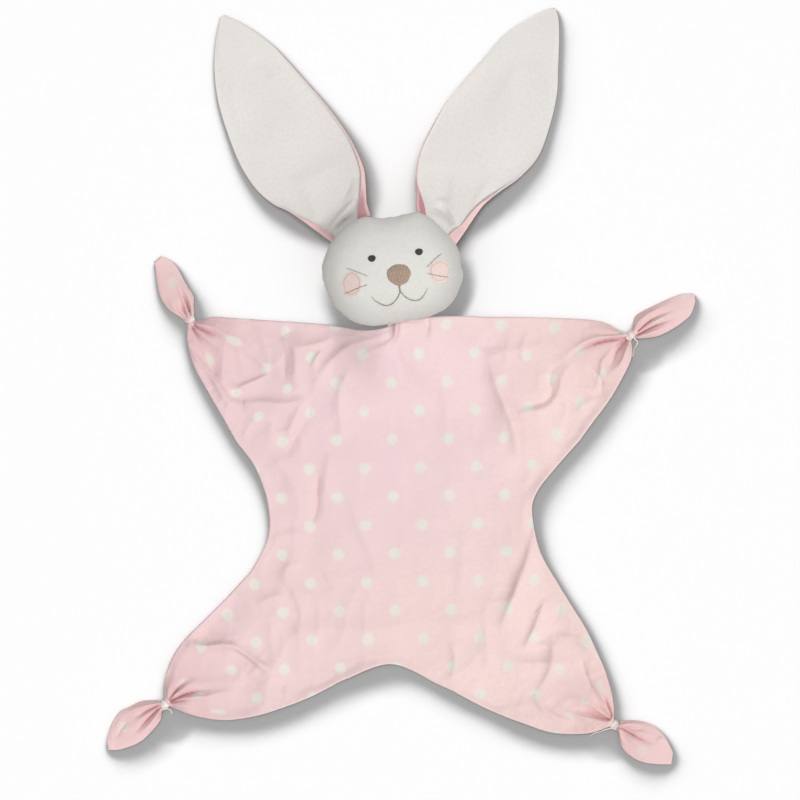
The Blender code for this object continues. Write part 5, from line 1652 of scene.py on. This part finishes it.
def make_face():
    """Satin stitches for the eyes and, lying higher, for the nose, back stitches for the mouth, the cheeks'
    patches and, over them, the whiskers."""
    for name, pixel in EYE_PIXELS.items():
        satin_patch(
            name + "_stitches", pixel, EYE_REACH, 0.8 * MM, DARK_THREAD, lift=0.8 * MM,
            seed=pixel[0], ragged=0.06, squared=0.035, replaces=name,
        )
    satin_patch(
        "nose_stitches", NOSE_PIXEL, NOSE_REACH, 0.95 * MM, TAN_THREAD, lift=1.3 * MM,
        seed=1.7, ragged=0.008, squared=0.03, replaces="nose",
    )
    stitch_line(
        "lip_stitches", face_line(STEM_PIXELS, 40), MOUTH_THREAD * 0.68, LINE_THREAD, 2.6 * MM,
        replaces=("lip_stem",),
    )
    stitch_line(
        "mouth_stitches", face_line(MOUTH_PIXELS, 400), MOUTH_THREAD / 2, LINE_THREAD, 2.2 * MM,
        taper=9 * MM, replaces=("mouth",),
    )
    for side, pixel in CHEEK_PIXELS.items():
        make_cheek(side, pixel)
    for name, pixels in WHISKER_PIXELS.items():
        stitch_line(
            name + "_stitches", face_line(pixels, 70), FACE_THREAD / 2, LINE_THREAD, 3.4 * MM,
            lift=0.32 * MM, replaces=(name,),
        )


def make_cheek(side, pixel):
    """A thin oval patch laid on the cheek, its edge stitched down by two uneven rounds of thread."""
    centre = on_face(pixel)
    share = np.concatenate((np.linspace(0.04, 0.96, 16), (1.0, 1.0)))[:, None]
    local = around(circle(96)[None, :]) * RING_REACH * (0.98 * share)[..., None]
    plane = centre + local
    lift = np.where(np.arange(share.size)[:, None] == share.size - 1, -CHEEK_SINK, CHEEK_LIFT)
    patch = dome("cheek_patch_" + side, with_height(plane, head_top(plane) + lift), CHEEK_COTTON, local)
    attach(patch, "head")
    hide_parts("cheek_" + side)
    turn = circle(240)
    for label, reach, wobble, look, thin, replaced in (
        ("outer", RING_REACH, 0.03, PALE_THREAD, FACE_THREAD * 0.3, ("cheek_ring_" + side,)),
        ("inner", CHEEK_REACH, 0.05, ROSE_THREAD, FACE_THREAD * 0.32, ()),
    ):
        uneven = 1 + wobble * np.sin(2 * turn + centre[0] * 40) + wobble * 0.5 * np.sin(5 * turn)
        ring = centre + around(turn) * reach * uneven[:, None]
        stitch_line(
            "cheek_%s_round_%s" % (label, side), ring, thin, look, 2.6 * MM,
            lift=0.1 * MM, closed=True, replaces=replaced,
        )


# Ears


# Creases and folds of the ears' linings, as those of the blanket
EAR_CREASES = {
    "ear_left": (
        (((356, 213), (350, 217), (343, 223), (335, 231)), -2.6, 2.2, 1.5, False),
        (((355, 201), (350, 206), (341, 216), (329, 231)), 2.6, 1.5, 1.6, False),
        (((363, 214), (352, 222), (341, 230)), 1.6, 1.4, 1.6, False),
        (((340, 206), (348, 192), (353, 174)), -1.0, 2.4, 5.0, False),
        (((252, 60), (262, 68), (274, 76)), -0.8, 3.5, 4.0, False),
        (((318, 222), (310, 200), (296, 176)), 0.9, 2.4, 5.0, False),
    ),
    "ear_right": (
        (((433, 208), (440, 211), (446, 217), (451, 227)), -2.6, 2.4, 1.8, False),
        (((436, 200), (442, 202), (447.5, 207), (453, 216), (459, 231)), 2.6, 1.5, 1.6, False),
        (((430, 215), (438, 219), (447, 228)), 1.4, 1.4, 1.6, False),
        (((446, 202), (448, 186), (446, 168)), -1.0, 2.4, 5.0, False),
        (((470, 214), (480, 194), (494, 176)), 0.9, 2.2, 5.0, False),
        (((520, 60), (505, 90), (488, 116)), 0.6, 5.0, 6.0, False),
    ),
}


def rolled_half(middle, edge, s, t, curl, flap, cavity):
    """Half of an ear, from its middle line to an edge. At each station along it the cloth leaves the middle
    line flat, rolls up beside the edge through the curl there and turns over by the width of the flap. Its
    place is the sum of the cosines and sines of its slope angle, stretched so that it reaches the edge on
    the photograph. Also gives how deep the shade under the flap is."""
    step = np.diff(t)[None, :]
    half = np.linalg.norm(edge - middle, axis=1)[:, None]
    turned = np.clip(table_curve(s, EAR_CURL_SHARES, flap)[:, None] * MM, 0, None)
    flat = half + turned + EAR_ROLL / 2 + 1e-9
    roll_start = np.clip(1 - (turned + EAR_ROLL) / flat, 0.05, 1)
    bent = smooth((t[None, :] - roll_start) / (EAR_ROLL / flat))
    angle = np.radians(table_curve(s, EAR_CURL_SHARES, curl))[:, None] * bent
    start = np.zeros((len(s), 1))
    forward = np.hstack((start, np.cumsum(np.cos(angle[:, 1:]) * step, axis=1)))
    upward = np.hstack((start, np.cumsum(np.sin(angle[:, 1:]) * step, axis=1)))
    span = half / forward.max(axis=1, keepdims=True)
    direction = unit(edge - middle + 1e-9)
    plane = middle[:, None] + direction[:, None] * (forward * span)[..., None]
    past = t[None, :] - roll_start - 0.7 * EAR_ROLL / flat
    return plane, upward * span, cavity * smooth(past / 0.08) * smooth((0.13 - s[:, None]) / 0.05)


def ear_surface(ear):
    """An ear between its two edges: both halves side by side, dropping from the head to the surface, with a
    hollow along its middle near the head, waves, facets and creases that fade out towards its edges."""
    pixels = EAR_PIXELS[ear]
    s = 0.996 * np.linspace(0, 1, EAR_STEPS) ** 1.12
    t = 1 - (1 - np.linspace(0, 1, EAR_ACROSS // 2 + 1)) ** 1.25
    outer, inner = [curve_at(plan(pixels[key]), s) for key in ("outer", "inner")]
    middle = (outer + inner) / 2
    halves = [
        rolled_half(middle, edge, s, t, *bend)
        for edge, *bend in zip((outer, inner), pixels["curl"], pixels["flap"], pixels["cavity"])
    ]
    plane, rise, cavity = [
        np.concatenate((one[:, ::-1], other[:, 1:]), axis=1) for one, other in zip(*halves)
    ]
    across, s = np.concatenate((-t[::-1], t[1:]))[None, :], s[:, None]
    base = table_curve(s, EAR_DROP_SHARES, EAR_DROP_HEIGHTS)
    hollow = EAR_HOLLOW * np.exp(-((across / 0.5) ** 2)) * smooth((0.3 - s) / 0.2)
    creased, painted_shade = crease_heights(plane, EAR_CREASES[ear], faint=1.0)
    creased = creased + layered(cloth_noise, plane, EAR_WAVES) + layered(facets, plane, EAR_FACETS)
    creased = creased * smooth((1 - np.abs(across)) / 0.25)
    height = base + rise * 0.9 + (creased - hollow) * smooth(s / 0.04)
    flat = np.stack(np.broadcast_arrays(across, s), axis=-1) * EAR_WEAVE
    return with_height(plane, height), flat, patch_area(np.vstack((outer, inner[::-1]))), painted_shade, cavity


def surface_normals(points):
    """The directions square to a grid of points, turned so that the one in its middle points up."""
    normal = unit(np.cross(np.gradient(points, axis=1), np.gradient(points, axis=0)))
    return normal * np.sign(normal[len(normal) // 2, normal.shape[1] // 2, 2])


def make_ear(ear):
    """The two cloths of an ear, on either side of its surface: the white lining and the pink back."""
    surface, flat, area, painted_shade, cavity = ear_surface(ear)
    normals = surface_normals(surface)
    # Painted shade: the lining darker in its creases, the pink back darker under its turned flap
    for name, low, high, look, slot, shade_share in (
        ("lining", EAR_GAP, EAR_GAP + EAR_CLOTH, EAR_COTTON, "white_cotton", painted_shade),
        ("back", -EAR_GAP - EAR_CLOTH, -EAR_GAP, PINK_COTTON, "pink_cotton", cavity),
    ):
        upper, lower = surface + normals * high, surface + normals * low
        piece = two_sided(ear + "_" + name + "_cloth", upper, lower, look, flat, shade_share, shade_below=True)
        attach(piece, ear)
        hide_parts(ear + "_" + name)


# Stage


def make_stage():
    """White paper under the blanket. It is drawn darker where the object stands close beside it on the side
    that the light comes from, which gives the short soft shadow of the photograph."""
    ground = bpy.data.meshes.new("ground")
    corners = [(-PAPER_REACH, -PAPER_REACH, 0), (PAPER_REACH, -PAPER_REACH, 0), (0, PAPER_REACH, 0)]
    ground.from_pydata(corners, [], [(0, 1, 2)])
    floor = placed("floor", ground)
    paper = Finish("paper", 1.0)
    paper.shader.inputs["Specular IOR Level"].default_value = 0.0
    direction = paper.node("CombineXYZ", *SHADOW_FROM).outputs[0]
    near = paper.node("AmbientOcclusion", None, SHADOW_REACH, direction, samples=SHADOW_SAMPLES)
    shade = paper.ramp(near.outputs["AO"], SHADOW_FULL, SHADOW_NONE, 1.0, 0.0)
    grey = PAPER * SHADOW_GREY
    paper.paint(paper.blend(shade, (PAPER, PAPER, PAPER, 1), (grey, grey, grey, 1)))
    ground.materials.append(paper.material)
    floor.location.z = -PAPER_DROP
    return floor


def make_sky():
    """A soft sky that is brightest overhead, and white where the camera sees it."""
    world = bpy.data.worlds.new("studio")
    bpy.context.scene.world = world
    world.use_nodes = True
    tree = world.node_tree
    background = tree.nodes["Background"]
    background.inputs["Color"].default_value = (1, 1, 1, 1)
    direction = tree.nodes.new("ShaderNodeSeparateXYZ")
    tree.links.new(tree.nodes.new("ShaderNodeTexCoord").outputs["Generated"], direction.inputs[0])
    sky = tree.nodes.new("ShaderNodeMapRange")
    tree.links.new(direction.outputs["Z"], sky.inputs["Value"])
    sky.inputs["To Min"].default_value = SKY_LOW
    sky.inputs["To Max"].default_value = SKY_HIGH
    strength = tree.nodes.new("ShaderNodeMix")
    tree.links.new(tree.nodes.new("ShaderNodeLightPath").outputs["Is Camera Ray"], strength.inputs[0])
    tree.links.new(sky.outputs[0], strength.inputs[2])
    strength.inputs[3].default_value = SKY_SEEN
    tree.links.new(strength.outputs[0], background.inputs["Strength"])


def light_links(name, states):
    """A collection that says which pieces a lamp's light or shadow includes or leaves out."""
    links = bpy.data.collections.new(name)
    for place, (piece, state) in enumerate(states.items()):
        links.objects.link(piece)
        links.collection_objects[place].light_linking.link_state = state
    return links


def make_lamp(name, lit):
    """A distant lamp that lights only what its links name."""
    strength, spread, turn, elevation = LAMPS[name]
    light = bpy.data.lights.new(name, "SUN")
    light.energy = strength
    light.angle = math.radians(spread)
    lamp = placed(name, light)
    lamp.rotation_euler = (0, math.radians(90 - elevation), math.radians(turn))
    lamp.light_linking.receiver_collection = light_links(name + "_receivers", lit)
    return lamp


def make_lights(floor, head):
    """The sky, the key for the cloth, a softer and steeper light for the head, and light from nearly
    straight above for the paper alone, which the head doesn't block."""
    make_sky()
    make_lamp("key", {floor: "EXCLUDE", head: "EXCLUDE"})
    make_lamp("head_light", {head: "INCLUDE"})
    overhead = make_lamp("overhead", {floor: "INCLUDE"})
    overhead.light_linking.blocker_collection = light_links("overhead_blockers", {head: "EXCLUDE"})


def make_camera():
    """A long lens straight above the middle of the photograph, as far away as its side asks for."""
    lens = bpy.data.cameras.new("camera")
    lens.lens = LENS
    lens.sensor_width = SENSOR
    lens.clip_end = 100
    camera = placed("camera", lens)
    camera.location = (*plan((PHOTO_SIDE / 2, PHOTO_SIDE / 2)), CAMERA_DISTANCE)
    bpy.context.scene.camera = camera


make_camera()
make_torso()
for order, limb_name in enumerate(LIMB_PIXELS):
    make_limb(limb_name)
    make_bundle(limb_name)
    make_thread(limb_name, 60 + order)
    make_tip(limb_name, 70 + 10 * order)
head_cover = make_head()
make_tuck()
make_face()
for ear_name in EAR_PIXELS:
    make_ear(ear_name)
make_lights(make_stage(), head_cover)
bpy.context.scene.view_settings.view_transform = "Standard"
